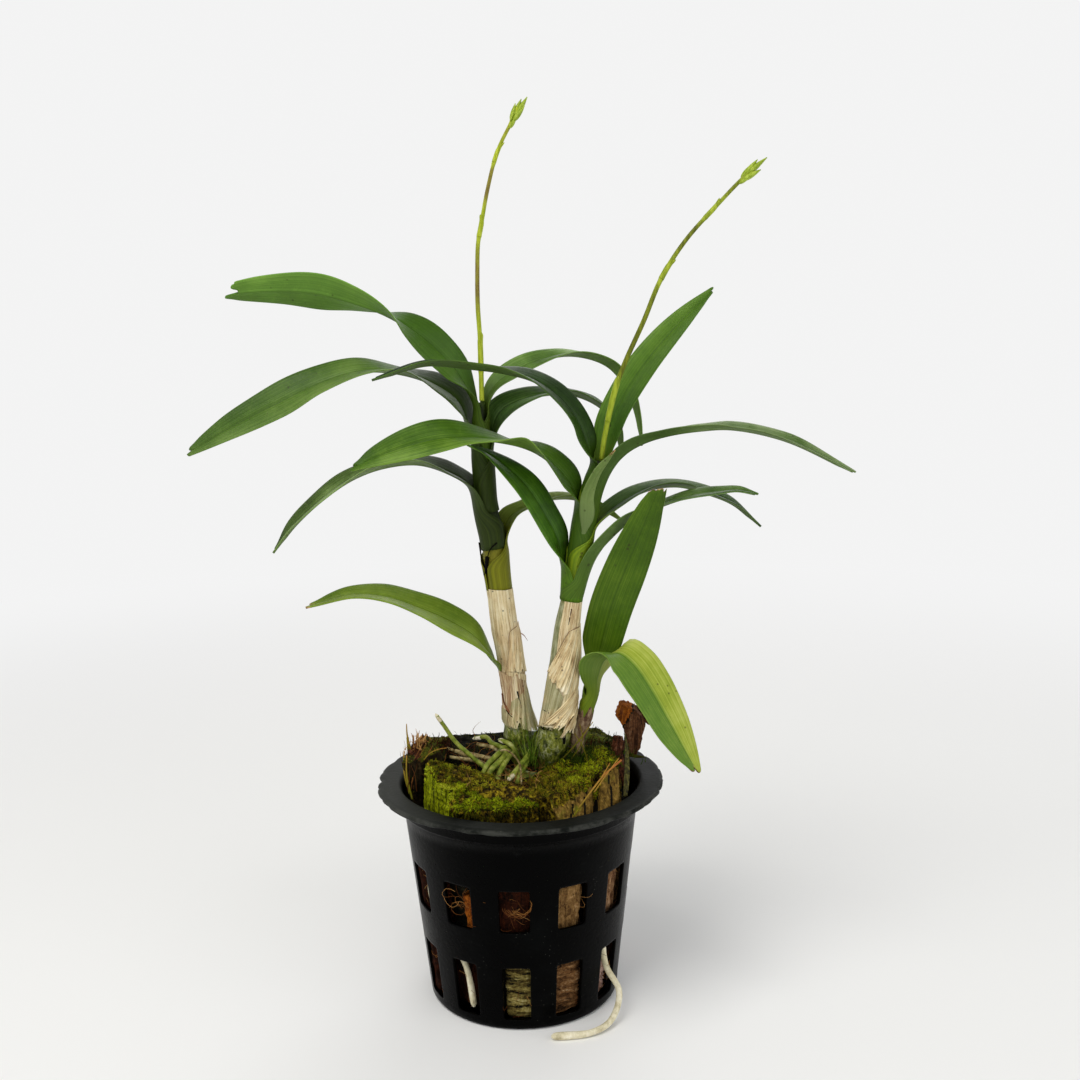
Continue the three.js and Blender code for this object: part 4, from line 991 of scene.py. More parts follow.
def leaf(row, seed):
    """A leaf: its cross-section wraps the stalk at the foot, and opens to a fold along the blade."""
    name = row["name"]
    raised = RAISED_FEET.get(name, 0)
    sheath = SHEATH_LENGTHS.get(name, USUAL_SHEATH)
    clear = CLASP_CLEAR + row.get("standoff", 0)
    heading = math.radians(row["heading"])
    outward = np.array([math.cos(heading), math.sin(heading), 0])
    path, along = leaf_path(row, outward, raised, sheath, clear)
    ahead, beside, normal = leaf_frame(path, along, outward, seed)
    total = along[-1]

    clasp = math.radians(row.get("clasp", 75))
    if name in POINTED_FEET:
        wrap = lerp(math.radians(9), clasp, smoothstep(along, 0, CLASP_LENGTH * 1.4)[:, None])
    else:
        closed = smoothstep(along, CLASP_LENGTH, min(-1, 2 - sheath / 2))[:, None]
        wrap = lerp(clasp, math.radians(172), closed)
    opened = smoothstep(along, *(RAISED_OPENING if raised else CLASP_OPENING))[:, None]
    crease = opened * math.radians(row["fold"])
    bend = lerp(wrap, -0.1, opened)
    bend = np.where(np.abs(bend) < 1e-3, 1e-3, bend)

    cut = row.get("tip") == "cut"
    tip_width = 0.35 if cut else NOTCHES.get(name, NOTCH)[3]
    outline = leaf_outline(np.clip(along / total, 0, 1), tip_width)
    hug = np.array([stalk_at(row["stalk"], z)[3] for z in np.clip(path[:, 2], 0, row["at"] + raised)])
    hug = hug + lerp(SHEATH_CLEAR, clear, smoothstep(along, -sheath, CLASP_LENGTH))
    half = lerp(hug[:, None] * wrap, (outline * row["width"] / 2)[:, None], opened)

    u = np.linspace(-1, 1, max(17, 2 * round(row["width"] * 0.95) + 1))[None, :]
    side, size = np.sign(u), np.abs(u)
    angle = crease + bend * size
    reach = (np.sin(angle) - np.sin(crease)) / bend
    rise = (np.cos(crease) - np.cos(angle)) / bend
    depth = opened * (np.cos(crease) - np.cos(crease + bend)) / bend
    waves = grid_points(along[:, None] / 13, u * 0.7)
    flutter = opened * size ** 1.5 * 0.55 * value_noise(waves + 31.7, seed)
    near_tip = smoothstep(along, total - 7, total)[:, None]
    surface = (path[:, None, :3]
               + beside[:, None] * (side * half * reach)[..., None]
               + normal[:, None] * (half * (rise - depth / 2) + flutter)[..., None]
               + ahead[:, None] * (near_tip * leaf_end(u, cut, name, seed))[..., None])
    lean = np.where(u == 0, 0, angle)
    facing = normal[:, None] * np.cos(lean)[..., None] - beside[:, None] * (side * np.sin(lean))[..., None]
    thick = lerp(0.28, BLADE_THICKNESS, smoothstep(along, -sheath - 0.1, CLASP_LENGTH))[:, None]
    upper, lower = leaf_skins(surface, facing, opened, near_tip, u, half, thick)
    points, faces = sheet(lower, upper)

    dry = DRY_TIPS.get(name)
    withered = np.clip((along - total + dry) / dry, 0, 1)[:, None] if dry else 0.0
    grids = np.broadcast_arrays(u, along[:, None] * MM, withered)
    across, distance, tip = (np.tile(grid.ravel(), 2) for grid in grids)
    under = np.repeat([1.0, 0.0], grids[0].size)
    shape = Shape()
    shape.add(points, faces, under=under, across=across, along=distance, tip=tip)
    look = leaf_look(name + "_skin", LEAF_TONES[name], SHADED_BASES.get(name, 0), name in YELLOW_LEAVES)
    shape.make(name + "_blade", [look], "young_leaf" if row["stalk"] is SHOOT else "leaf", [name])


# ---- canes, sheaths and shoot ----

PAPER_THICKNESS = 0.2
# The canes' usual radius, for the length of a sheet's turn round them.
CANE_RADIUS = 5.5


def stalk_relief(seed, lines, amount, rings=()):
    """Relief for a stalk: lengthwise ridges and swollen rings at distances along it."""
    def relief(angle, along):
        spots = grid_points(np.cos(angle) * lines, np.sin(angle) * lines, along / 26)
        height = amount * (value_noise(spots, seed) + 0.5 * value_noise(spots * 2.1, seed + 1))
        for place, size in rings:
            height = height + size * np.exp(-((along - place) / 0.9) ** 2)
        return height
    return relief


def stalk(rows, name, look, slot, replaces, seed, amount=0.12, shrink=0.0, rings=()):
    """A stalk's own skin, `shrink` millimetres inside its rows to leave room for the sheaths."""
    path, _ = smooth_path(rows, 0.9)
    path[:, 3] -= shrink
    shape = Shape()
    shape.add(*tube(path, 48, stalk_relief(seed, 3.5, amount, rings)))
    shape.make(name, [LOOKS[look]], slot, replaces)


def paper_sheet(shape, stalk_rows, corners, lift, seed, size=(60, 40), folds=0, fold_height=0.4,
                fray=0.0, lean=0.0, curl=0.0, green=0.0, brown=0.0):
    """A papery sheet wrapped on a stalk.

    corners are [angle, z] at its start-left, start-right, end-left and end-right. Its folds run
    from start to end, lift is its height over the stalk at each, lean lifts the end's right side,
    curl lifts its last quarter, and fray tears the end.
    """
    length, span = size
    s = np.linspace(0, 1, length)[:, None]
    t = np.linspace(0, 1, span)[None, :]
    a, b, c, d = [np.array(corner, float) for corner in corners]
    torn = fray * np.clip(value_noise(grid_points(t * 9), seed) - 0.1, 0, 1)
    torn = torn + 0.5 * fray * np.clip(value_noise(grid_points(t * 26), seed + 1), 0, 1)
    reach = s * (1 - torn)
    place = lerp(lerp(a, b, t[..., None]), lerp(c, d, t[..., None]), reach[..., None])
    angle, z = place[..., 0], place[..., 1]
    centre = np.array([stalk_at(stalk_rows, value) for value in z.ravel()]).reshape(*z.shape, 4)
    uneven = 0.45 * value_noise(grid_points(t * folds * 0.6, s * 1.5, 9.0), seed + 3)
    pleat = np.abs(((t * folds + uneven) % 1) * 2 - 1) if folds else 0
    mm_wide = math.hypot(np.radians(b - a)[0] * CANE_RADIUS, (b - a)[1])
    mm_long = math.hypot(np.radians(c + d - a - b)[0] / 2 * CANE_RADIUS, (c + d - a - b)[1] / 2)
    ridges = 0.12 * value_noise(grid_points(t * mm_wide / 0.7, s * mm_long / 16), seed + 7)
    crumple = 0.15 * layered_noise(grid_points(angle / 9, z / 3, float(seed)), 1.0, 2, seed)
    height = lerp(lift[0], lift[1], reach) + fold_height * pleat * smoothstep(s, 0, 0.25)
    height = height + ridges + crumple + lean * t * reach ** 2 + curl * smoothstep(s, 0.75, 1) ** 2
    height = np.maximum(height, 0.05)
    direction = around(angle)
    middle = centre[..., :3] + direction * (centre[..., 3] + height)[..., None]
    half = PAPER_THICKNESS / 2
    points, faces = sheet(middle + direction * half, middle - direction * half)
    across, along = (np.tile(grid.ravel(), 2) for grid in np.broadcast_arrays(t * mm_wide, s * mm_long))
    shape.add(points, faces, across=across, along=along, green=green, brown=brown)


def on_stalk(stalk_rows, angle, z, off):
    """The place at an angle and a height, `off` millimetres out from a stalk's skin."""
    x, y, _, radius = stalk_at(stalk_rows, z)
    return np.array([x, y, z]) + around(np.array(float(angle))) * (radius + off)


LEFT_SHEETS = [
    # The tall tube, and the torn lower sheath.
    dict(corners=[[-178, 124], [182, 122], [-178, 158.5], [182, 158.1]], fray=0.012, seed=3, lift=(0.1, 0.1),
         size=(60, 120)),
    dict(corners=[[-178, 128], [182, 124], [-178, 108.5], [182, 105]], fray=0.32, seed=5, lift=(0.4, 0.15),
         brown=0.8, size=(50, 110)),
    # The folded flap at the right, the rim across its foot, and the skirt that leans out below.
    dict(corners=[[20, 142.5], [96, 145], [-14, 127], [80, 125.5]], folds=6, fold_height=0.3,
         lift=(0.4, 0.8), fray=0.08, seed=11, curl=0.2),
    dict(corners=[[-22, 128], [88, 124.2], [-24, 125.8], [90, 121.6]], lift=(0.7, 0.5), seed=12,
         size=(14, 60)),
    dict(corners=[[-14, 115], [96, 121], [-34, 105.5], [95, 102]], folds=6, fold_height=0.3,
         lift=(0.35, 0.6), lean=2.6, fray=0.3, seed=8, green=0.7, size=(44, 70)),
    dict(corners=[[-95, 112], [-10, 111], [-104, 107], [-24, 104.5]], folds=5, fold_height=0.2,
         lift=(0.35, 0.3), fray=0.4, seed=14, green=0.9, brown=0.2, size=(30, 50)),
]
RIGHT_SHEETS = [
    # The inner tube, open at the left, where the green stem shows.
    dict(corners=[[-34, 110], [172, 110], [-34, 156.6], [172, 155.5]], fray=0.02, seed=21, lift=(0.12, 0.12),
         brown=0.2, size=(60, 90)),
    # The fan that opens from its upper right corner, and the oblique sheath under it.
    dict(corners=[[10, 144.5], [94, 146], [-68, 128], [64, 114]], folds=11, fold_height=0.4,
         lift=(0.35, 0.5), fray=0.1, seed=23, curl=0.1, size=(60, 110)),
    dict(corners=[[-66, 131], [10, 119], [-76, 106.5], [-12, 106]], folds=4, fold_height=0.2,
         lift=(0.35, 0.35), fray=0.08, seed=25, green=0.75, size=(34, 50)),
    dict(corners=[[26, 140], [92, 138], [4, 113], [88, 112]], folds=9, fold_height=0.25,
         lift=(0.25, 0.5), fray=0.05, seed=26, green=0.25, size=(40, 80)),
    # The lower fan, whose pleats run down to the left, and its torn ends.
    dict(corners=[[76, 125.5], [97, 120], [-40, 109.5], [36, 104.5]], folds=9, fold_height=0.45,
         lift=(0.6, 1.0), fray=0.2, seed=27, curl=0.8, size=(50, 110)),
    dict(corners=[[86, 120], [100, 116], [10, 107], [52, 104.5]], folds=5, fold_height=0.35,
         lift=(0.9, 1.2), fray=0.35, seed=29, curl=0.8, size=(40, 50)),
    dict(corners=[[46, 109.5], [50, 107.8], [-46, 109.2], [-44, 107.6]], folds=1, fold_height=0.2,
         lift=(1.0, 1.2), fray=0.3, seed=33, size=(40, 16)),
    dict(corners=[[40, 110], [52, 108.5], [14, 103.6], [24, 103.4]], folds=2, fold_height=0.3,
         lift=(1.1, 1.1), fray=0.3, seed=35, curl=0.4, size=(26, 20)),
]
# Cracks, tears and blotches: a stalk, [angle, z] along each, its half-width, height and tone.
SCARS = [
    (CANE_LEFT, [(16, 119), (20, 115.5)], 0.35, 0.5, 0.0),
    (CANE_LEFT, [(-66, 117.5), (-54, 114.5), (-40, 112.4), (-30, 111)], 0.34, 0.62, 0.75),
    (CANE_LEFT, [(-44, 113), (-28, 111), (-10, 110), (8, 110.4)], 0.55, 0.4, 1.0),
    (CANE_LEFT, [(-38, 111.6), (-22, 109.7), (-6, 108.9), (8, 109.4)], 0.24, 0.75, 0.1),
    (CANE_LEFT, [(8, 110), (24, 112.4), (22, 115.6)], 0.22, 0.7, 0.1),
    (CANE_LEFT, [(56, 144), (38, 143.4), (20, 142.2), (4, 135), (-14, 127.4)], 0.1, 0.85, 0.75),
    (CANE_LEFT, [(20, 176.5), (-8, 174.5), (-24, 172), (-33, 169)], 0.28, 0.75, 0.0),
    (CANE_LEFT, [(-33, 171), (-48, 167), (-68, 163.5)], 0.85, 0.2, 0.0),
    (CANE_LEFT, [(-84, 176), (-80, 169), (-74, 163.5)], 0.35, 0.6, 0.05),
    (CANE_RIGHT, [(58, 145.6), (34, 145), (10, 144.2), (-26, 136.8), (-52, 131.2)], 0.1, 0.9, 0.75),
    (CANE_RIGHT, [(6, 152.5), (4, 150)], 0.26, 0.2, 0.6),
    (CANE_RIGHT, [(4, 149.4), (3, 146.6)], 0.24, 0.2, 0.5),
    (CANE_RIGHT, [(30, 104), (36, 102), (40, 100.5)], 0.8, 0.1, 0.0),
    (CANE_RIGHT, [(-62, 113.6), (-50, 113.2), (-34, 113.6)], 0.2, 0.5, 0.1),
    (CANE_RIGHT, [(-60, 107), (-44, 106.2), (-30, 106.6), (-12, 106)], 0.28, 0.4, 0.0),
]


def canes():
    """The two canes and the young shoot, each a stem with its papery sheaths, and their scars."""
    stalk(CANE_LEFT, "cane_left_stem", "cane", "cane_sheath", ["cane_left"], 1, shrink=0.35,
          rings=[(14, 0.2), (84, 0.25), (97, 0.25)])
    stalk(CANE_RIGHT, "cane_right_stem", "cane", "cane_sheath", ["cane_right"], 2, shrink=0.35,
          rings=[(17, 0.25), (83, 0.25)])
    for name, stalk_rows, sheets in (("cane_left_sheaths", CANE_LEFT, LEFT_SHEETS),
                                     ("cane_right_sheaths", CANE_RIGHT, RIGHT_SHEETS)):
        shape = Shape()
        for row in sheets:
            paper_sheet(shape, stalk_rows, **row)
        shape.make(name, [LOOKS["paper"]], "cane_sheath")
    scars = Shape()
    for stalk_rows, places, half_width, off, tone in SCARS:
        rows = [[*on_stalk(stalk_rows, angle, z, off), half_width] for angle, z in places]
        strand(scars, rows, tone=tone, taper=0.5, sides=8)
    strand(scars, [[1.6, 1, 141.3, 0.22], [2.8, 1, 140.2, 0.18], [3.9, 1, 138.4, 0.1]], tone=1.0)
    scars.make("sheath_scars", [LOOKS["scar"]], "cane_sheath")
    stalk(SHOOT, "young_shoot_stem", "stub", "cane_sheath", ["young_shoot"], 6, amount=0.08, shrink=0.15)
    shoot = Shape()
    paper_sheet(shoot, SHOOT, [[-178, 88], [182, 88], [-178, 111], [182, 116]], lift=(0.3, 0.9), fray=0.25,
                seed=37, size=(50, 56))
    shoot.make("young_shoot_sheath", [LOOKS["shoot"]], "cane_sheath")


# ---- flower spikes ----

# Bracts: distance along the spike, length, the side it faces, half-angle it wraps.
LEFT_BRACTS = [(11, 15, 30, 165), (60, 8, -50, 165), (86, 8, 70, 160), (101, 6, -40, 150)]
RIGHT_BRACTS = [(15, 17, -20, 165), (69, 9, 60, 165), (95, 9, -70, 160)]
# Height and tone along each spike: 0 is lime, 1 is purplish or olive.
LEFT_TONES = [
    (229, 0.05), (254, 0.05), (262, 0.45), (270, 0.8), (277, 0.75), (285, 0.35), (290, 0.1), (296, 0.05),
    (300, 0.35), (304, 0.85), (311, 0.8), (314, 0.1), (319, 0.15), (322, 0.5), (327, 0.45), (331, 0.1),
]
RIGHT_TONES = [
    (207, 0.1), (234, 0.15), (240, 0.85), (255, 0.9), (266, 0.55), (271, 0.2), (278, 0.3), (284, 0.85),
    (290, 0.7), (294, 0.1), (299, 0.2), (303, 0.8), (308, 0.3),
]
# Buds: foot and tip, from the spike's own tip, and radius, of which the skin takes up BUD_GIRTH.
BUD_GIRTH = 0.84
LEFT_BUDS = [
    ((-1.8, 0.0, -3.6), (3.0, -0.2, 3.7), 1.15), ((-2.6, 0.3, -3.8), (0.9, 0.3, 3.1), 1.05),
    ((-2.2, -0.6, -4.6), (2.0, -0.7, 0.6), 1.1), ((-3.0, -0.2, -4.4), (-1.2, -0.4, 1.6), 0.95),
    ((-2.4, 0.8, -3.0), (1.9, 0.9, 2.8), 1.0), ((-3.3, 0.1, -6.8), (-0.8, -0.8, -2.4), 0.85),
]
RIGHT_BUDS = [
    ((-2.6, 0.0, -1.8), (4.7, 0.0, 3.8), 1.1), ((-3.6, 0.3, -2.4), (1.4, 0.3, 3.2), 1.05),
    ((-4.2, -0.5, -4.0), (2.4, -0.7, -0.4), 1.15), ((-4.4, 0.2, -3.2), (-1.0, 0.1, 1.4), 0.9),
    ((-2.8, 0.9, -2.2), (3.0, 0.9, 1.8), 1.0), ((-5.4, -0.3, -5.0), (-1.4, -0.9, -2.8), 0.85),
]


def bract(shape, path, base, length, side, width, tones):
    """A pointed scale that sheathes a spike at `base`, its distance along, and springs off at the tip."""
    step = np.linalg.norm(path[1, :3] - path[0, :3])
    start = int(base / step)
    count = max(6, int(length / step))
    rows = path[start:start + count + 1]
    count = len(rows) - 1
    tangent = unit(np.gradient(rows[:, :3], axis=0))
    face = around(np.full(count + 1, side))
    face = unit(face - tangent * np.sum(face * tangent, axis=1, keepdims=True))
    beside = np.cross(tangent, face)
    s = np.linspace(0, 1, count + 1)[:, None]
    t = np.linspace(-1, 1, 17)[None, :]
    spread = math.radians(width) * (1 - s ** 3) + 0.06
    radius = rows[:, 3:4] + 0.1 + 0.35 * smoothstep(s, 0.7, 1)
    angle = spread * t
    middle = (rows[:, None, :3] + face[:, None] * (radius * np.cos(angle))[..., None]
              + beside[:, None] * (radius * np.sin(angle))[..., None])
    normal = face[:, None] * np.cos(angle)[..., None] + beside[:, None] * np.sin(angle)[..., None]
    points, faces = sheet(middle - normal * 0.07, middle + normal * 0.07)
    shape.add(points, faces, tone=0.5 * np.interp(points[:, 2], *tones) - 0.1)


def bud(shape, base, tip, radius, look):
    """A closed bud: plump below its middle, pointed at the tip, with shallow furrows."""
    s = np.linspace(0, 1, 26)
    rows = np.outer(1 - s, base) + np.outer(s, tip)
    swell = BUD_GIRTH * radius * np.clip(np.sin(np.pi * s ** 0.72) ** 0.85, 0.1, None)
    points, faces = tube(np.c_[rows, swell], 20, lambda angle, along: 0.1 * radius * np.cos(3 * angle))
    shape.add(points, faces, look)


def spike(name, rows, look, knots, tones, bracts, buds, seed):
    """A flower spike: its stem with swollen knots, its bracts, and buds about its tip."""
    shape = Shape()
    path, _ = smooth_path(rows, 0.6)
    points, faces = tube(path, 18, stalk_relief(seed, 1.2, 0.02, knots))
    tones = np.array(tones).T
    shape.add(points, faces, tone=np.interp(points[:, 2], *tones))
    for base, length, side, width in bracts:
        bract(shape, path, base, length, side, width, tones)
    tip = np.array(rows[-1][:3])
    for foot, end, radius in buds:
        bud(shape, tip + foot, tip + end, radius, 1)
    shape.make(name + "_stem", [LOOKS[look], LOOKS["bud"]], "flower_spike", [name])


def spikes():
    spike("flower_spike_left", SPIKE_LEFT, "spike_left", [(11, 0.15), (60, 0.2), (86, 0.15), (101, 0.1)],
          LEFT_TONES, LEFT_BRACTS, LEFT_BUDS, 41)
    spike("flower_spike_right", SPIKE_RIGHT, "spike_right", [(15, 0.15), (69, 0.2), (95, 0.15)],
          RIGHT_TONES, RIGHT_BRACTS, RIGHT_BUDS, 43)


# ---- roots ----

# A pale root tip: distance past the root's end, and radius as a part of the root's.
PALE_TIP = [(-2.6, 1.05), (-0.8, 1.05), (0.5, 0.75), (1.1, 0.2)]


def root(shape, rows, look, seed, sides=16, amount=0.08):
    """A root along rows of [x, y, z, radius]."""
    path, _ = smooth_path(rows, 0.7)
    points, faces = tube(path, sides, stalk_relief(seed, 1.4, amount))
    shape.add(points, faces, look)


def roots():
    """The rhizome with the roots over the medium, and the two roots that leave the pot or hang in it."""
    surface = Shape()
    looks = ["root_green", "root_pale", "root_tan"]
    root(surface, RHIZOME, 0, 50, 32, 0.3)
    for i, (look, foot_radius, tip_radius, pale_tip, places) in enumerate(ROOT_RUNS):
        radii = np.linspace(foot_radius, tip_radius, len(places))
        rows = [[*place, radius] for place, radius in zip(places, radii)]
        root(surface, rows, looks.index(look), 51 + i)
        if pale_tip:
            end, before = np.array(places[-1], float), np.array(places[-2], float)
            way = unit(end - before)
            tip = [[*(end + way * ahead), tip_radius * size] for ahead, size in PALE_TIP]
            root(surface, tip, looks.index("root_pale"), 80 + i, amount=0.03)
    looks = [LOOKS[look] for look in looks]
    surface.make("surface_roots", looks, "root_skin", ["rhizome_with_surface_roots"])
    for name, node, rows, sides, amount, seed in (
            ("root_along_floor", "root_to_floor", ROOT_RIGHT, 20, 0.1, 81),
            ("root_behind_slots", "root_in_pot", ROOT_LEFT, 18, 0.14, 82)):
        shape = Shape()
        root(shape, rows, 0, seed, sides, amount)
        shape.make(name, [LOOKS["root_pale"]], "root_skin", [node])


# ---- medium ----

# Heights of the slabs' tops, as [x, y, z] places on them.
LEFT_TOP = [
    [-38, -4, 97.2], [-37.4, -10, 96.8], [-35.4, -16, 95.7], [-32.8, -21, 94.2], [-28.7, -27, 91.8],
    [-25, -30, 89.8], [-28, -10, 96.2], [-24, -18, 94], [-14.5, -18, 93.3], [-7, -21, 92.2], [0.4, -24, 90.2],
    [-18, -27, 91], [-10, -31, 89.2], [0, -33, 88], [-17, -37, 86.8], [-6, -40, 86.2], [5, -36, 87],
    [6, -28, 88.6],
]
RIGHT_TOP = [
    [4, -33, 88], [15, -30, 90.4], [20.6, -23, 91.8], [26.6, -15, 93.2], [30, -20, 94.4], [36, -16, 94],
    [41, -8, 92.5], [12, -16, 90.4], [7, -22, 89.4], [20, -10, 92.6], [30, -4, 94.6], [38, 2, 96.5],
]
# Edges of the slabs, beyond which, to the left of travel, they fall: the hollow where the roots
# lie behind the left one, and the wooden face in front of the right one.
HOLLOW_EDGE = [[-39, -5, 97], [-30, -9.5, 96.2], [-22, -14.5, 95], [-14.5, -18, 93.3], [-7, -21, 92.2],
               [0.4, -24, 90.2], [6, -27, 89]]
FACE_EDGE = [[44, -9, 93], [38, -14.5, 94.4], [32.7, -20, 94.2], [27.4, -25, 92], [22.5, -28.5, 90.2],
             [17.5, -31.5, 88.6], [12, -35, 86.6], [6, -38.5, 84.6]]
HOLLOW_SLOPE, HOLLOW_DEPTH = 2.2, 85.5
FACE_SLOPE, FACE_DEPTH = 1.5, 77
# The height from which the left slab is stretched up to its top.
SLAB_BASE = 82
# The left slab's upright face: the radius where it is held in, how far it may still bulge past that
# in front and on the face itself, and the angles between which the one goes over to the other.
FACE_RADIUS = 36
FACE_BULGES = (20, 4.4)
FACE_ANGLES = (-33, -38)
# Where the right slab's last plank ends, how much of what lies past it goes, and the planks' cracks:
# x at the cracks' level, lean, half-width and depth.
PLANK_END = 37.2
PLANK_CUT = 0.95
CRACK_LEVEL = 86
PLANK_CRACKS = [(28.2, 0.1, 0.95, 5), (19.8, 0.25, 0.35, 1.4), (33.6, -0.05, 0.3, 1.2), (24, 0.05, 0.3, 0.9)]
# The crack at the end of the left slab's upright face: its angle and half-width in degrees, and depth.
LEFT_CRACK, LEFT_CRACK_WIDTH, LEFT_CRACK_DEPTH = -39, 1.2, 3
# Node: looks of its top and of its sides, direction across its layers, layer, relief, material slot.
CHUNKS = {
    "husk_upright": ("husk", "husk_skin", (1, 0.3, 0), 1.7, 0.6, "rust_husk"),
    "husk_left": ("husk_shade", "peat", (1, 0.6, 0), 2.2, 1.0, "rust_husk"),
    "charcoal_back": ("charcoal", "charcoal", (0.2, 1, 0.3), 2.4, 1.0, "charcoal"),
    "husk_back_right": ("peat", "bark", (0.3, 0.2, 1), 1.8, 1.0, "bark"),
    "husk_centre": ("peat", "charcoal", (0, 0.4, 1), 1.8, 1.2, "bark"),
    "moss_slab_left": ("slab", "slab_face_painted_light", (0.3, 0.2, 1), 2.6, 0.5, "moss"),
    "moss_slab_right": ("slab", "wood_face", (1, 0.2, 0), 3.4, 0.6, "moss"),
}


def remeshed(node, voxel):
    """The CAD node's surface remeshed finely: points in millimetres and faces."""
    mesh = frame["nodes"][node].data.copy()
    obj = bpy.data.objects.new(node + "_draft", mesh)
    bpy.context.collection.objects.link(obj)
    modifier = obj.modifiers.new("remesh", "REMESH")
    modifier.mode = "VOXEL"
    modifier.voxel_size = voxel * MM
    result = bpy.data.meshes.new_from_object(obj.evaluated_get(bpy.context.evaluated_depsgraph_get()))
    points = np.array([vertex.co for vertex in result.vertices]) / MM
    faces = np.array([tuple(polygon.vertices) for polygon in result.polygons])
    bpy.data.objects.remove(obj)
    bpy.data.meshes.remove(mesh)
    bpy.data.meshes.remove(result)
    return points, faces


def vertex_normals(points, faces):
    """Unit normals at the points of a mesh of quads, weighted by the faces' areas."""
    corners = points[faces]
    across = np.cross(corners[:, 2] - corners[:, 0], corners[:, 3] - corners[:, 1])
    normals = np.zeros_like(points)
    for column in range(4):
        np.add.at(normals, faces[:, column], across)
    return unit(normals + 1e-12)


def strata(points, direction, seed, thickness, amount):
    """Layered relief: ledges across `direction`, with rough edges."""
    level = points @ unit(np.array(direction, float)) + 0.9 * layered_noise(points, 7.0, 3, seed)
    ledge = np.abs((level / thickness) % 1 - 0.5) * 2
    return amount * (ledge ** 0.6 - 0.7) + 0.5 * amount * layered_noise(points, 2.2, 2, seed + 4)


def clumps(points, cell=2.6):
    """How far moss swells at each point: 0 in the gaps between clumps, and 1 on them."""
    return np.clip(0.5 + 1.3 * layered_noise(points, cell, 2, 17), 0, 1)


def height_over(points, spots, reach=6.0):
    """The height, over points in plan, of a smooth surface through spots."""
    spots = np.array(spots, float)
    apart = np.linalg.norm(points[:, None, :2] - spots[None, :, :2], axis=2)
    weight = np.exp(-(apart / reach) ** 2) + 1e-6
    return (weight @ spots[:, 2]) / weight.sum(axis=1)


def past_edge(points, edge):
    """How far points lie to the left of an edge in plan, and the edge's height beside them."""
    edge, _ = smooth_path(edge, 0.5)
    ahead = np.gradient(edge[:, :2], axis=0)
    apart = points[:, None, :2] - edge[None, :, :2]
    distance = np.linalg.norm(apart, axis=2)
    nearest = distance.argmin(axis=1)
    row = np.arange(len(points))
    offset = apart[row, nearest]
    side = np.sign(ahead[nearest, 0] * offset[:, 1] - ahead[nearest, 1] * offset[:, 0])
    return side * distance[row, nearest], edge[nearest, 2]


def with_top(points, normals, heights, base):
    """Stretches what stands over `base` so that the chunk's top comes to the heights."""
    up = np.flatnonzero((normals[:, 2] > 0.6) & (points[:, 2] > base))
    tree = KDTree(len(up))
    for order, index in enumerate(up):
        tree.insert((points[index, 0], points[index, 1], 0), order)
    tree.balance()
    tops = np.array([points[up[tree.find((x, y, 0))[1]], 2] for x, y, _ in points])
    part = np.clip((points[:, 2] - base) / np.maximum(tops - base, 1), 0, 1)
    raised = points.copy()
    raised[:, 2] = np.where(points[:, 2] > base, base + part * (heights - base), points[:, 2])
    return raised


def left_slab(points, normals):
    """The left slab: a high rim, a drop to the roots behind it, and an upright face at the left."""
    drop, edge_height = past_edge(points, HOLLOW_EDGE)
    fall = np.maximum(edge_height - HOLLOW_SLOPE * drop, HOLLOW_DEPTH)
    heights = np.where(drop > 0, fall, height_over(points, LEFT_TOP))
    points = with_top(points, normals, heights, SLAB_BASE)
    radius = from_centre(points)
    angle = np.degrees(np.arctan2(points[:, 0], -points[:, 1]))
    room = lerp(*FACE_BULGES, smoothstep(angle, *FACE_ANGLES))
    past = np.maximum(radius - FACE_RADIUS, 0)
    held = radius - past + room * (1 - np.exp(-past / room))
    crack = np.exp(-((angle - LEFT_CRACK) / LEFT_CRACK_WIDTH) ** 2)
    held = held - LEFT_CRACK_DEPTH * crack * smoothstep(radius, FACE_RADIUS, FACE_RADIUS + 4)
    points[:, :2] *= (held / radius)[:, None]
    return points


def right_slab(points, normals):
    """The right slab: a mossy top that ends in a sloping, cracked wooden face."""
    drop, edge_height = past_edge(points, FACE_EDGE)
    fall = np.maximum(edge_height - FACE_SLOPE * drop, FACE_DEPTH)
    heights = np.where(drop > 0, fall, height_over(points, RIGHT_TOP))
    points = with_top(points, normals, heights, FACE_DEPTH - 1)
    for place, lean, width, depth in PLANK_CRACKS:
        across = points[:, 0] - place - lean * (points[:, 2] - CRACK_LEVEL)
        points[:, 1] += depth * np.exp(-(across / width) ** 2) * smoothstep(drop, -0.5, 1.5)
    points[:, 0] -= PLANK_CUT * np.maximum(points[:, 0] - PLANK_END, 0)
    return points


# The upright husk's left corner: x at heights up it.
HUSK_CORNER = [(90, 42), (97, 41.5), (101, 40.5), (105, 37)]


def left_husk(points, _):
    """The left husk: its upper part spreads over the charcoal beside it."""
    points = points.copy()
    x, y, z = points.T
    spread = smoothstep(z, 86, 92) * smoothstep(y, -9, 0)
    x += 1.6 * spread * np.maximum(x + 36, 0)
    z[:] = np.minimum(z, 100.5 - 0.22 * (x + 38))
    return points


def upright_husk(points, _):
    """The upright husk: peaked at the top, and cut back under its left corner."""
    points = points.copy()
    x, _, z = points.T
    peak = 111 - 1.1 * np.maximum(0, 41 - x) - 1.2 * np.maximum(0, x - 43.5)
    z[:] = np.minimum(z, peak)
    heights, corner = zip(*HUSK_CORNER)
    x[:] = np.maximum(x, np.interp(z, heights, corner))
    return points


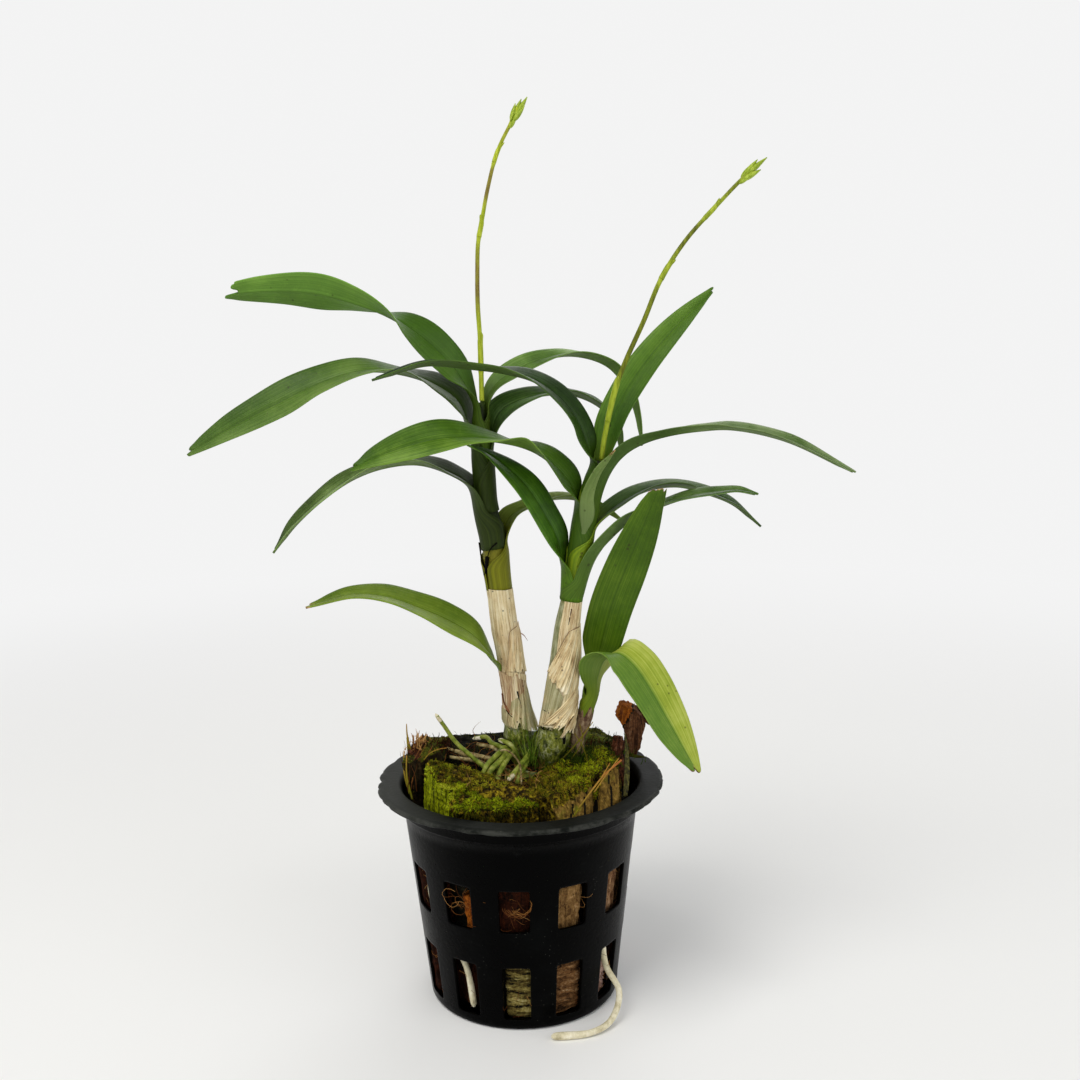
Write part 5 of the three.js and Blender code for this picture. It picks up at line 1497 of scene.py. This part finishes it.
# The line z = offset + slope * x on the upright husk, under which its torn skin shows.
SKIN_EDGE = (47.4, 1.36)
SHAPING = {"moss_slab_left": left_slab, "moss_slab_right": right_slab, "husk_upright": upright_husk,
           "husk_left": left_husk}
CHUNK_VOXEL = 0.72
WALL_CLEAR = 0.4


def within_wall(points):
    """Keeps points below the pot's rim inside its wall, and lets those above it spread."""
    radius = from_centre(points)
    room = body_radius(np.minimum(points[:, 2], POT_HEIGHT)) - WALL - WALL_CLEAR
    room = room + 12 * smoothstep(points[:, 2], POT_HEIGHT, POT_HEIGHT + 3)
    held = points.copy()
    held[:, :2] *= np.minimum(1, room / np.maximum(radius, 1))[:, None]
    return held


def look_of(node, middle, facing):
    """0 for the faces of a chunk's top, 1 for its sides and 2 for its cracks, which are darkened as painted
    shade.
    """
    x, y, z = middle.T
    wobble = layered_noise(middle, 4, 2, 7)
    crack = np.zeros(len(middle), bool)
    if node == "moss_slab_left":
        side = (from_centre(middle) > 37.5) & (facing[:, 2] < 0.6) & (x < -24 + wobble)
        angle = np.degrees(np.arctan2(x, -y))
        crack = side & (np.abs(angle - LEFT_CRACK) < 0.9 * LEFT_CRACK_WIDTH)
    elif node == "moss_slab_right":
        drop = past_edge(middle, FACE_EDGE)[0]
        side = drop > 0.6 + wobble
        for place, lean, width, _ in PLANK_CRACKS:
            crack |= (drop > 0.8) & (np.abs(x - place - lean * (z - CRACK_LEVEL)) < max(0.8 * width, 0.35))
    elif node == "husk_upright":
        offset, slope = SKIN_EDGE
        skin = (offset + wobble - z + slope * x) / math.hypot(1, slope)
        side = skin > 0
        crack = np.abs(skin) < 0.4
    elif node == "husk_left":
        side = (x > -37.5 + wobble) | (z < 96 + 2 * wobble)
    else:
        side = facing[:, 2] < 0.3
    return np.where(crack, 2, side)


def surface_chunks():
    """Husk and moss-covered slabs in the pot's mouth. Returns their surfaces, for strands."""
    surfaces = {}
    for seed, (node, (look, side_look, grain, layer, amount, slot)) in enumerate(CHUNKS.items()):
        points, faces = remeshed(node, CHUNK_VOXEL)
        if node in SHAPING:
            points = SHAPING[node](points, vertex_normals(points, faces))
        normals = vertex_normals(points, faces)
        relief = strata(points, grain, 90 + seed, layer, amount)
        relief = relief + 0.8 * layered_noise(points, 5.0, 3, 110 + seed)
        if slot == "moss":
            relief = relief + 1.5 * clumps(points) * smoothstep(normals[:, 2], 0.2, 0.6)
        if node == "moss_slab_right":
            relief = lerp(relief, 0.4, 0.75 * smoothstep(past_edge(points, FACE_EDGE)[0], 0, 1.5))
        points = within_wall(points + normals * np.clip(relief - 0.6, -1.8, 0.45)[:, None])
        normals = vertex_normals(points, faces)
        surfaces[node] = (points, normals, faces)
        shape = Shape()
        shape.add(points, faces, look_of(node, points[faces].mean(axis=1), normals[faces].mean(axis=1)))
        # The cracks take the dark charcoal look: painted shade in them.
        shape.make(node + "_rough", [LOOKS[look], LOOKS[side_look], LOOKS["charcoal"]], slot, [node])
    return surfaces


# The rust-brown plank between the right slab and the upright husk.
PLANK_FOOT, PLANK_TOP = np.array([38.4, 0.4, 80]), np.array([37.8, -1.2, 101])
PLANK_ACROSS = np.array([0.68, 0.73, 0])
PLANK_WIDTH, PLANK_THICKNESS = 5.6, 2.2


def plank():
    """A thin plank of husk, rough on both sides and ragged at the top."""
    s = np.linspace(0, 1, 60)[:, None]
    t = np.linspace(-1, 1, 26)[None, :]
    rise = s * (1 - 0.13 * np.clip(value_noise(grid_points(t * 4), 91) + 0.4, 0, 1))
    middle = lerp(PLANK_FOOT, PLANK_TOP, rise[..., None]) + PLANK_ACROSS * PLANK_WIDTH / 2 * t[..., None]
    out = np.cross(PLANK_ACROSS, (0, 0, 1))
    grain = layered_noise(middle, (1.1, 1.1, 6), 3, 92)
    half = PLANK_THICKNESS / 2 * (1 - 0.5 * t ** 6) + 0.5 * grain
    points, faces = sheet(middle - out * half[..., None], middle + out * half[..., None])
    shape = Shape()
    shape.add(points, faces)
    shape.make("husk_plank", [LOOKS["husk_shade"]], "rust_husk")


# What stands behind each slot in view, by its row and place from the middle one: kind, depth behind
# the wall, turn, width, and low and high ends.
SLOT_FILL = {
    (1, -3): ("husk_dark", -1.1, 7, 27, 34, 64), (0, -3): ("husk_dark", -1.1, 7, 25, 2, 30),
    (1, -2): ("husk_dark", 1.6, 0, 17, 34, 64), (1, -1): ("husk", 1.6, 5.5, 9, 34, 52.5),
    (1, 0): ("husk_dark", 1.9, 0, 17, 34, 64), (1, 1): ("bark", 0.9, 0.5, 11.5, 34, 56.5),
    (1, 2): ("strips", 0.8, 0, 15, 34, 59), (0, -2): ("husk_dark", 2.4, 0, 17, 2, 30),
    (0, -1): ("husk_dark", 3.9, 0, 17, 2, 30), (0, 0): ("yellowish", 0.8, 3, 13, 2.5, 29),
    (0, 1): ("layered", 0.8, 0, 14, 2.5, 28), (0, 2): ("pinkish", 1.4, 0, 15, 2.5, 19),
    (0, 3): ("husk_dark", 2.0, 0, 17, 2, 30),
}
# Direction across the layers of each kind.
GRAINS = {"bark": (1, 0, 0), "husk": (1, 0, 0), "husk_dark": (1, 0, 0), "layered": (0.1, 0, 1),
          "yellowish": (0.15, 0, 1), "pinkish": (0.5, 0, 1), "strips": (1, 0, 0)}
# What stands behind the slots at the back.
SPARE_FILL = ["bark", "layered", "husk", "husk_dark", "yellowish", "bark"]
SPARE_ENDS = {0: (2.4, 30), 1: (36, 63)}
BLOCK_DEPTH = 11
# The middle of the first solid of a row, in degrees, and how many solids a row has.
FIRST_SOLID, SOLIDS = -62, 5
SLOT_SPACING = 360 / SLOT_COUNT
# Height and radius of the core of the medium.
CORE = [(2.2, 29.5), (4, 30.6), (35, 34), (59, 37.2), (65.5, 41.7), (70, 42.5), (75, 42.9), (77, 40)]


def block(centre_angle, kind, recess, side, low, high, seed):
    """A lumpy block of husk that stands behind one slot, `recess` millimetres in from the wall."""
    rows, count = 44, 68
    v = np.linspace(-1, 1, rows)[:, None]
    w = np.linspace(0, 2 * np.pi, count, endpoint=False)[None, :]
    box_x = np.clip(1.35 * np.cos(w), -1, 1) * np.ones_like(v)
    box_y = np.clip(1.35 * np.sin(w), -1, 1) * np.ones_like(v)
    round_end = (1 - np.abs(v) ** 14) ** 0.5
    x = box_x * side / 2 * lerp(0.75, 1, round_end)
    z = lerp(low, high, (v + 1) / 2) * np.ones_like(w)
    wall = body_radius(np.clip(z, 0, 80)) - WALL - 0.35 - recess
    y_front = -wall * np.cos(np.arcsin(np.clip(x / wall, -1, 1)))
    y = y_front + (box_y + 1) / 2 * BLOCK_DEPTH * lerp(0.8, 1, round_end) + (1 - round_end) * 0.8
    local = np.stack([x, y, z], axis=-1)
    centre = np.array([0, BLOCK_DEPTH / 2 - wall.mean(), (low + high) / 2])
    push = unit(local - centre)
    relief = strata(local + seed * 13.7, GRAINS[kind], seed, 1.9, 1.1)
    relief = relief + 0.8 * layered_noise(local, 4.5, 3, seed)
    local = local + push * np.clip(relief - 0.9, -2.6, 0)[..., None]
    turn = math.radians(centre_angle)
    cos, sin = math.cos(turn), math.sin(turn)
    points = local @ np.array([[cos, -sin, 0], [sin, cos, 0], [0, 0, 1]]).T
    faces = grid_faces(rows, count, wrap=True).tolist()
    faces.append(tuple(range(count))[::-1])
    faces.append(tuple((rows - 1) * count + i for i in range(count)))
    return points.reshape(-1, 3), faces


def slot_fill():
    """Blocks behind the slots: one for each slot, gathered into the solid that they stand for."""
    kinds = list(GRAINS)
    names = {0: "bark_lower", 1: "bark_middle"}
    shapes = {(row, i): Shape() for row in names for i in range(SOLIDS)}
    for row, k in itertools.product(names, range(-5, 7)):
        centre = SLOT_PHASE + SLOT_SPACING * k
        spare_kind = SPARE_FILL[(k * 5 + row * 3) % len(SPARE_FILL)]
        spare = (spare_kind, 0.6 + (k % 3) * 0.5, 0, 17, *SPARE_ENDS[row])
        kind, recess, turn, side, low, high = SLOT_FILL.get((row, k), spare)
        owner = round((centre - FIRST_SOLID) / (360 / SOLIDS)) % SOLIDS
        points, faces = block(centre + turn, kind, recess, side, low, high, 200 + row * 20 + k)
        shapes[row, owner].add(points, faces, kinds.index(kind))
    slots = {part["node"]: part["material_slot"] for part in frame["record"]["subparts"]}
    for (row, i), shape in shapes.items():
        node = f"{names[row]}_{i + 1}"
        shape.make(node + "_blocks", [LOOKS[kind] for kind in kinds], slots[node], [node])


def medium_core():
    """The dark middle of the medium, which closes the view between the blocks."""
    def lumps(angle, along):
        return 0.9 * value_noise(grid_points(np.cos(angle) * 3, np.sin(angle) * 3, along / 5), 77) - 0.9

    path, _ = smooth_path([[0, 0, z, radius] for z, radius in CORE], 2)
    shape = Shape()
    shape.add(*tube(path, 60, lumps))
    shape.make("medium_core", [LOOKS["charcoal"]], "bark")


# ---- strands: moss, grass, fibres and straw ----

# How far strands of moss lean away from the surface's own direction.
MOSS_SPREAD = 0.6


def scatter(surface, count, keep):
    """Random spots on a surface, by area, where keep(points, normals) says so."""
    points, normals, faces = surface
    a, b, c = (points[faces[:, column]] for column in range(3))
    area = np.linalg.norm(np.cross(b - a, c - a), axis=1)
    chosen = RANDOM.choice(len(faces), size=count, p=area / area.sum())
    u, v = RANDOM.random((2, count, 1))
    spots = a[chosen] + u * (b - a)[chosen] + v * (c - b)[chosen]
    ways = unit(normals[faces[chosen]].mean(axis=1) + 1e-9)
    mask = keep(spots, ways)
    return spots[mask], ways[mask]


def tuft(shape, spots, ways, length, width, look, droop, tone):
    """Three-sided tapering strands on the spots, longer on the clumps of moss.

    Their tones are paler on the clumps as painted light, and darker in the hollows as painted shade.
    """
    swell = clumps(spots)
    grown = swell > 0.12
    spots, ways, swell = spots[grown], ways[grown], swell[grown]
    count = len(spots)
    ways = unit(ways + MOSS_SPREAD * RANDOM.normal(size=(count, 3)))
    long = RANDOM.uniform(*length, (count, 1)) * lerp(0.4, 1.15, swell)[:, None]
    wide = RANDOM.uniform(*width, (count, 1))
    side = unit(np.cross(ways, RANDOM.normal(size=(count, 3))))
    other = np.cross(ways, side)
    bend = 0.35 * long * side - np.array([0, 0, 1.0]) * droop * long
    rings = []
    for part, size in ((-0.15, 1.0), (0.5, 0.8)):
        centre = spots + ways * long * part + bend * max(part, 0) ** 2
        for corner in range(3):
            turn = 2 * math.pi * corner / 3
            rings.append(centre + wide / 2 * size * (side * math.cos(turn) + other * math.sin(turn)))
    tip = spots + ways * long + bend
    points = np.stack([*rings, tip], axis=1).reshape(-1, 3)
    pattern = [(i, (i + 1) % 3, 3 + (i + 1) % 3, 3 + i) for i in range(3)]
    ends = [(3 + i, 3 + (i + 1) % 3, 6) for i in range(3)]
    faces = [tuple(corner + 7 * i for corner in face) for i in range(count) for face in (*pattern, *ends)]
    # Tones follow the clumps: darker in the hollows as painted shade, paler on the clumps as painted light,
    # with some random tone.
    tones = np.repeat(lerp(*tone, 0.75 * swell + 0.25 * RANDOM.random(count)), 7)
    rise = np.tile([0, 0, 0, 0.5, 0.5, 0.5, 1.0], count)
    shape.add(points, faces, look, tone=tones, rise=rise)


def strand(shape, rows, look=0, tone=0.5, sides=5, taper=0.4):
    """One thin fibre along rows of [x, y, z, radius]. tone may be a pair, from foot to tip."""
    path, along = smooth_path(rows, 0.8)
    path[:, 3] *= 1 - taper * along / along[-1]
    points, faces = tube(path, sides)
    if isinstance(tone, tuple):
        shade = np.linspace(*tone, len(path))
        tone = np.r_[np.repeat(shade, sides), shade[0], shade[-1]]
    shape.add(points, faces, look, tone=tone, rise=1.0)


def wander(start, way, length, radius, wild=0.5, steps=6):
    """Rows for a fibre that wanders from start."""
    way = unit(np.array(way, float))
    point = np.array(start, float)
    rows = [[*point, radius]]
    for _ in range(steps):
        way = unit(way + wild * RANDOM.normal(size=3))
        point = point + way * length / steps
        rows.append([*point, radius])
    return rows


def moss(surfaces):
    """Moss on the two slabs and, in patches, on the chunks behind them."""
    def low_cover(points, normals):
        return (normals[:, 2] > 0.3) & (points[:, 2] > 90.5) & (past_edge(points, HOLLOW_EDGE)[0] < 0.5)

    def front(points, normals):
        x, _, z = points.T
        return (from_centre(points) > 33) & (z > 86.4) & (z < 92) & (normals[:, 2] > -0.2) & (x > -23)

    def front_foot(points, _):
        x, y, z = points.T
        return (z > 83.5) & (z < 87) & (y < -22) & (x > -23)

    def crest(points, normals):
        x, _, z = points.T
        return (from_centre(points) > 37.6) & (x < -23) & (normals[:, 2] > 0.1) & (z > 87)

    def behind_crest(points, normals):
        x, _, z = points.T
        radius = from_centre(points)
        return (radius > 29) & (radius < 38) & (x < -20) & (normals[:, 2] > 0.3) & (z > 90)

    def over_right(points, normals):
        return (normals[:, 2] > 0.3) & (points[:, 2] > 84) & (past_edge(points, FACE_EDGE)[0] < 0.8)

    def bright_right(points, normals):
        patch = layered_noise(points, 9, 2, 305)
        return over_right(points, normals) & (points[:, 0] + 0.5 * points[:, 1] > 8 + 6 * patch)

    def face_tufts(points, _):
        patch = layered_noise(points, 4, 2, 11)
        return (past_edge(points, FACE_EDGE)[0] > 0.5) & (points[:, 2] > 82) & (patch > 0.3)

    def open_sky(points, normals):
        patch = layered_noise(points, 8, 3, 301)
        return (normals[:, 2] > 0.35) & (points[:, 2] > 84) & (patch > -0.1)

    # Piece: its looks, then node, how many spots, where, lengths, widths, look, droop and tones from
    # hollow to clump; the dark hollow end is painted shade and the pale clump end painted light.
    covers = {
        "moss_left": (["moss", "moss_painted_light"], [
            ("moss_slab_left", 25000, low_cover, (0.6, 1.3), (0.2, 0.34), 0, 0, (-0.15, 1.1)),
            ("moss_slab_left", 16000, behind_crest, (0.4, 1.0), (0.2, 0.34), 1, 0, (-0.2, 0.5)),
            ("moss_slab_left", 34000, front, (0.9, 2.1), (0.22, 0.4), 1, 0.2, (-0.3, 0.9)),
            ("moss_slab_left", 20000, front_foot, (0.9, 2.0), (0.22, 0.4), 0, 0.5, (-0.2, 0.5)),
            ("moss_slab_left", 36000, crest, (0.5, 1.2), (0.22, 0.36), 1, 0, (0.4, 1.1)),
        ]),
        "moss_right": (["moss", "moss_painted_light"], [
            ("moss_slab_right", 22000, over_right, (0.6, 1.5), (0.22, 0.38), 0, 0, (0.05, 0.85)),
            ("moss_slab_right", 18000, bright_right, (0.6, 1.5), (0.22, 0.38), 1, 0, (0, 0.85)),
            ("moss_slab_right", 3000, face_tufts, (0.4, 0.9), (0.2, 0.3), 0, 0, (0.2, 0.9)),
        ]),
        "moss_back": (["moss"], [
            ("husk_back_right", 9000, open_sky, (0.6, 1.6), (0.22, 0.38), 0, 0, (0, 0.55)),
            ("husk_centre", 5000, open_sky, (0.6, 1.6), (0.22, 0.38), 0, 0, (0, 0.4)),
            ("charcoal_back", 5000, open_sky, (0.6, 1.6), (0.22, 0.38), 0, 0, (0, 0.6)),
        ]),
    }
    for name, (looks, rows) in covers.items():
        shape = Shape()
        for node, count, keep, *tuft_sizes in rows:
            tuft(shape, *scatter(surfaces[node], count, keep), *tuft_sizes)
        shape.make(name, [LOOKS[look] for look in looks], "moss")


# Clusters of loose strands: how many, foot, its scatter, way, its scatter, lengths, radius, wildness, tones.
GRASS = [
    (26, (4.2, -8, 93), (1.3, 0.8, 0.6), (0.02, 0.03, 1), (0.22, 0.08, 0.05), (9, 19), 0.2, 0.06, (0.3, 0.9)),
    (16, (7, -9, 91), (2.2, 1.0, 0.5), (0.1, -0.1, 1), (0.4, 0.3, 0.1), (3, 7), 0.2, 0.12, (0, 0.6)),
    (110, (22, -6, 92), (3.6, 2.4, 0.6), (0.1, -0.1, 1), (0.45, 0.3, 0.1), (3, 9), 0.22, 0.15, (0, 0.25)),
    (110, (33, 2, 93), (6, 8, 0.5), (0, -0.1, 1), (0.5, 0.4, 0.1), (1.5, 4.5), 0.2, 0.15, (0, 0.4)),
]
FIBRES = [
    (70, (-38.5, 1, 97), (1.8, 4, 1.4), (-0.1, -0.2, 1), (0.35, 0.35, 0.2), (1.5, 4.5), 0.24, 0.2, (0, 1)),
    (26, (-38.2, 0, 98.6), (1.2, 1.6, 1.2), (0, -0.2, 1), (0.3, 0.3, 0.1), (2, 4), 0.34, 0.15, (0.9, 1.3)),
    (90, (-31, 3, 96.5), (3, 3, 1), (0, -0.1, 1), (0.3, 0.3, 0.2), (1.5, 3.5), 0.22, 0.2, (-0.3, 0.2)),
    (46, (-41, -6, 84), (1.2, 6, 1), (0, 0, 1), (0.12, 0.15, 0.1), (10, 17), 0.2, 0.1, (0, 0.6)),
    (26, (37.6, 0, 97), (1.2, 1.2, 1.2), (0, -0.1, 1), (0.4, 0.3, 0.2), (2, 4), 0.22, 0.2, (-0.2, 0.5)),
    (16, (29, 5, 95), (3, 2, 0.6), (0, -0.1, 1), (0.4, 0.3, 0.2), (2, 5), 0.18, 0.25, (-0.2, 0.4)),
    (90, (4, -18, 91), (10, 6, 0.8), (0, 0, 0.3), (1, 1, 0.25), (3, 9), 0.1, 0.5, (0, 1)),
    (60, (-18, 2, 91), (9, 8, 1.2), (0, 0, 0.3), (1, 0.6, 0.3), (4, 12), 0.15, 0.35, (0, 0.8)),
]
# Single stems and straws: rows of [x, y, z, radius], and tone from foot to tip.
STRAWS = [
    ([[19.6, -38, 83.6, 0.32], [25, -31, 88.4, 0.34], [31, -24, 93.2, 0.36],
      [38, -18, 97, 0.46]], (0.3, 1.1)),
    ([[21.3, -36, 85.7, 0.22], [29.2, -27.6, 92.6, 0.24], [33.6, -21.5, 97.2, 0.18]], (0.5, 0.8)),
    ([[27.2, -31, 89.6, 0.22], [32.7, -24, 94.5, 0.22], [37.1, -19, 98.2, 0.2]], (0.6, 0.8)),
    ([[42.6, 6, 90.5, 0.8], [45.4, 5, 90.2, 0.7], [48.5, 2, 90.9, 0.3]], (0.1, 0.05)),
    ([[-43.4, 4, 99.8, 0.5], [-42.3, -2, 90.8, 0.6], [-40.2, -10, 82.8, 0.6]], (0.4, 0.15)),
    ([[-41.6, -12, 83, 0.4], [-43.6, -10, 91, 0.35], [-43.8, -6, 98, 0.3]], (0.3, 0.7)),
    ([[-40, -18, 83, 0.4], [-42.2, -14, 91, 0.35], [-42.6, -9, 97, 0.3]], (0.2, 0.6)),
    ([[-42, 0, 96, 0.45], [-43.2, 1, 102, 0.35], [-43.4, 2, 106, 0.2]], (0.4, 0.6)),
    ([[16.5, -8, 94.5, 0.3], [22, -9, 101, 0.28], [28, -9, 109, 0.2]], (0.1, 0.5)),
    ([[19, -9, 93.5, 0.25], [24, -9, 102, 0.22], [23, -8, 108, 0.15]], (0.1, 0.4)),
    ([[26, -12, 94, 0.25], [24, -11, 100, 0.2], [21, -10, 105, 0.15]], (0.1, 0.4)),
    ([[-36, -10, 95.6, 0.22], [-34, -8, 97.4, 0.2], [-30.8, -7, 98.6, 0.18],
      [-27.4, -6, 98.8, 0.15]], (0.4, 0.8)),
]
STRAP = [[39.4, -18.6, 83], [40.4, -13, 89.5], [40.9, -6.5, 95.6], [40.6, -1, 101.4]]


def strap():
    """A dead leaf strap that stands against the right slab."""
    path, along = smooth_path(STRAP, 0.6)
    part = along / along[-1]
    width = 1.25 * np.sin(np.pi * np.clip(0.16 + 0.82 * part, 0, 1)) ** 0.6 * (1 - 0.45 * part)
    t = np.linspace(-1, 1, 15)[None, :]
    middle = path[:, None, :] + (width[:, None] * t)[..., None] * np.array([1, 0.25, 0])
    middle[..., 1] += 0.35 * t ** 2 + 0.08 * np.cos(9 * t)
    half_thick = np.array([0, 0.12, 0])
    shape = Shape()
    shape.add(*sheet(middle - half_thick, middle + half_thick))
    shape.make("dead_leaf_strap", [LOOKS["strap"]], "straw_husk")


def loose_strands():
    """Tufts of grass, husk fibres, single straws and the dead strap."""
    for name, clusters, look, slot, sides in (("grass_tufts", GRASS, "grass", "moss", 4),
                                              ("husk_fibres", FIBRES, "fibre", "rust_husk", 4)):
        shape = Shape()
        for count, foot, foot_spread, way, way_spread, lengths, radius, wild, tones in clusters:
            for _ in range(count):
                start = np.array(foot) + RANDOM.normal(size=3) * foot_spread
                toward = np.array(way) + RANDOM.normal(size=3) * way_spread
                rows = wander(start, toward, RANDOM.uniform(*lengths), radius, wild)
                strand(shape, rows, tone=RANDOM.uniform(*tones), sides=sides, taper=0.8)
        shape.make(name, [LOOKS[look]], slot)
    straw = Shape()
    for rows, tone in STRAWS:
        strand(straw, rows, tone=tone, sides=8, taper=0.2)
    straw.make("straw_bits", [LOOKS["straw"]], "straw_husk")
    strap()


def loop(shape, angle, z, size, turn, tone, thick, arc, out=0.9):
    """A curl of coir, through `arc` degrees, that hangs out of a slot."""
    middle = around(np.array(float(angle))) * (body_radius(z) - WALL / 2 + out)
    right = around(np.array(angle + 90.0))
    rows = []
    for i in np.linspace(0, arc, 14):
        bend = math.radians(i + turn)
        wobble = RANDOM.normal(size=3) * 0.16
        rise = np.array([0, 0, z + size * 0.8 * math.sin(bend)])
        spot = middle + right * size * math.cos(bend) + rise + wobble
        rows.append([*spot, thick])
    strand(shape, rows, tone=tone, taper=0.1)


def limited(point):
    """Keeps a fibre's point close to the wall, so that it shows in a slot."""
    radius = math.hypot(point[0], point[1])
    most = body_radius(point[2]) + 0.4
    least = most - WALL - 2.2
    held = min(max(radius, least), most)
    return [point[0] * held / radius, point[1] * held / radius, min(max(point[2], 3), 70)]


def coir():
    """Coir in the slots in view: curls that hang out of two of them, and loose fibres in each."""
    shape = Shape()
    loop(shape, -37, 51.5, 4.0, 60, 0.8, 0.08, 290)
    loop(shape, -31, 51, 2.4, 30, 0.5, 0.07, 280)
    loop(shape, -33, 48, 3.2, 200, 0.4, 0.07, 200)
    for i in range(6):
        loop(shape, -2 + 0.5 * i, 51 + 0.2 * i, 5.0 - 0.25 * i, 185 + 7 * i, 0.35 + 0.06 * i, 0.08,
             140 + 8 * i, out=0.4 + 0.1 * i)
    for k, row in itertools.product((-2, -1, 0, 1, 2), (0, 1)):
        low, high = SLOT_ROWS[row]
        amount = {(-1, 1): 14, (0, 1): 18}.get((k, row), 6)
        for _ in range(amount):
            angle = SLOT_PHASE + SLOT_SPACING * k + RANDOM.uniform(-8, 7)
            z = RANDOM.uniform(low, high)
            start = around(np.array(angle)) * (body_radius(z) - WALL - WALL_CLEAR) + (0, 0, z)
            rows = wander(start, RANDOM.normal(size=3) * (1, 0.25, 1), RANDOM.uniform(3, 8), 0.07, 0.3)
            strand(shape, [[*limited(item[:3]), item[3]] for item in rows], tone=RANDOM.random())
    shape.make("coir_in_slots", [LOOKS["fibre"]], "rust_husk")


# ---- camera, floor and light ----

CAMERA_PLACE = (0.00931, -0.46131, 0.25553)
CAMERA_TILT = 90 - 9.63
CAMERA_ROLL = -1.03
SENSOR = 36
FOCAL_LENGTH = SENSOR * 1250 / 1080
# The floor's half-width, and how far below the pot it lies, in metres.
FLOOR_REACH = 6
FLOOR_LEVEL = -0.0002
# Where the lights aim, in metres.
LIGHT_TARGET = (0, 0, 0.17)
# Brightness of the background, and of the room above it.
BACKGROUND = 0.9
OVERHEAD = 0.26
# Name, place in metres, size in metres, power in watts and colour.
LIGHTS = [
    ("key", (-0.45, -0.55, 1.25), 0.8, 11, (1, 0.985, 0.955)),
    ("fill", (0.9, -0.7, 0.6), 0.9, 3, (0.97, 0.985, 1)),
    ("back", (0.3, 1.0, 0.9), 0.9, 4, (1, 1, 1)),
]


def pale_floor():
    """A floor that grows into the pale background with distance."""
    look = Look("floor_pale", Specular_IOR_Level=0.0)
    far = look.step(look.from_axis(), 0.2, 0.9)
    look.feed(look.shader.inputs["Emission Color"], (1, 1, 1, 1))
    look.feed(look.shader.inputs["Emission Strength"], look.math("MULTIPLY", far, BACKGROUND))
    return look.paint(look.mix(far, (0.88, 0.88, 0.87, 1), (0, 0, 0, 1)), 0.9)


def studio_world():
    """White near the horizon and darker overhead, so that the light keeps some direction."""
    world = bpy.data.worlds.new("studio")
    world.use_nodes = True
    tree = world.node_tree
    split = tree.nodes.new("ShaderNodeSeparateXYZ")
    tree.links.new(tree.nodes.new("ShaderNodeTexCoord").outputs["Generated"], split.inputs[0])
    band = tree.nodes.new("ShaderNodeMapRange")
    band.interpolation_type = "SMOOTHSTEP"
    tree.links.new(split.outputs[2], band.inputs["Value"])
    band.inputs["From Min"].default_value = math.sin(math.radians(14))
    band.inputs["From Max"].default_value = math.sin(math.radians(45))
    band.inputs["To Min"].default_value = BACKGROUND
    band.inputs["To Max"].default_value = OVERHEAD
    tree.links.new(band.outputs["Result"], tree.nodes["Background"].inputs["Strength"])
    tree.nodes["Background"].inputs["Color"].default_value = (1.0, 1.0, 1.0, 1)
    return world


def stage():
    """The camera at the photo's angle, the floor, the background and the lights."""
    scene = bpy.context.scene
    camera = bpy.data.objects.new("camera", bpy.data.cameras.new("camera"))
    camera.data.sensor_width = SENSOR
    camera.data.lens = FOCAL_LENGTH
    camera.data.clip_start = 0.01
    camera.data.clip_end = 50
    tilt = Matrix.Rotation(math.radians(CAMERA_TILT), 4, "X")
    roll = Matrix.Rotation(math.radians(CAMERA_ROLL), 4, "Z")
    camera.matrix_world = Matrix.Translation(CAMERA_PLACE) @ tilt @ roll
    scene.collection.objects.link(camera)
    scene.camera = camera

    mesh = bpy.data.meshes.new("floor")
    signs = ((-1, -1), (1, -1), (1, 1), (-1, 1))
    mesh.from_pydata([(x * FLOOR_REACH, y * FLOOR_REACH, FLOOR_LEVEL) for x, y in signs], [], [(0, 1, 2, 3)])
    floor = bpy.data.objects.new("floor", mesh)
    scene.collection.objects.link(floor)
    mesh.materials.append(pale_floor())

    scene.world = studio_world()
    for name, place, size, power, colour in LIGHTS:
        data = bpy.data.lights.new(name, "AREA")
        data.size = size
        data.energy = power
        data.color = colour
        light = bpy.data.objects.new(name, data)
        light.location = place
        light.rotation_euler = (Vector(LIGHT_TARGET) - Vector(place)).to_track_quat("-Z", "Y").to_euler()
        scene.collection.objects.link(light)
    scene.view_settings.view_transform = "Standard"
    scene.view_settings.look = "None"


stage()
net_pot()
pot_floor()
for seed, row in enumerate(LEAVES):
    leaf(row, seed)
canes()
spikes()
roots()
moss(surface_chunks())
plank()
slot_fill()
medium_core()
loose_strands()
coir()
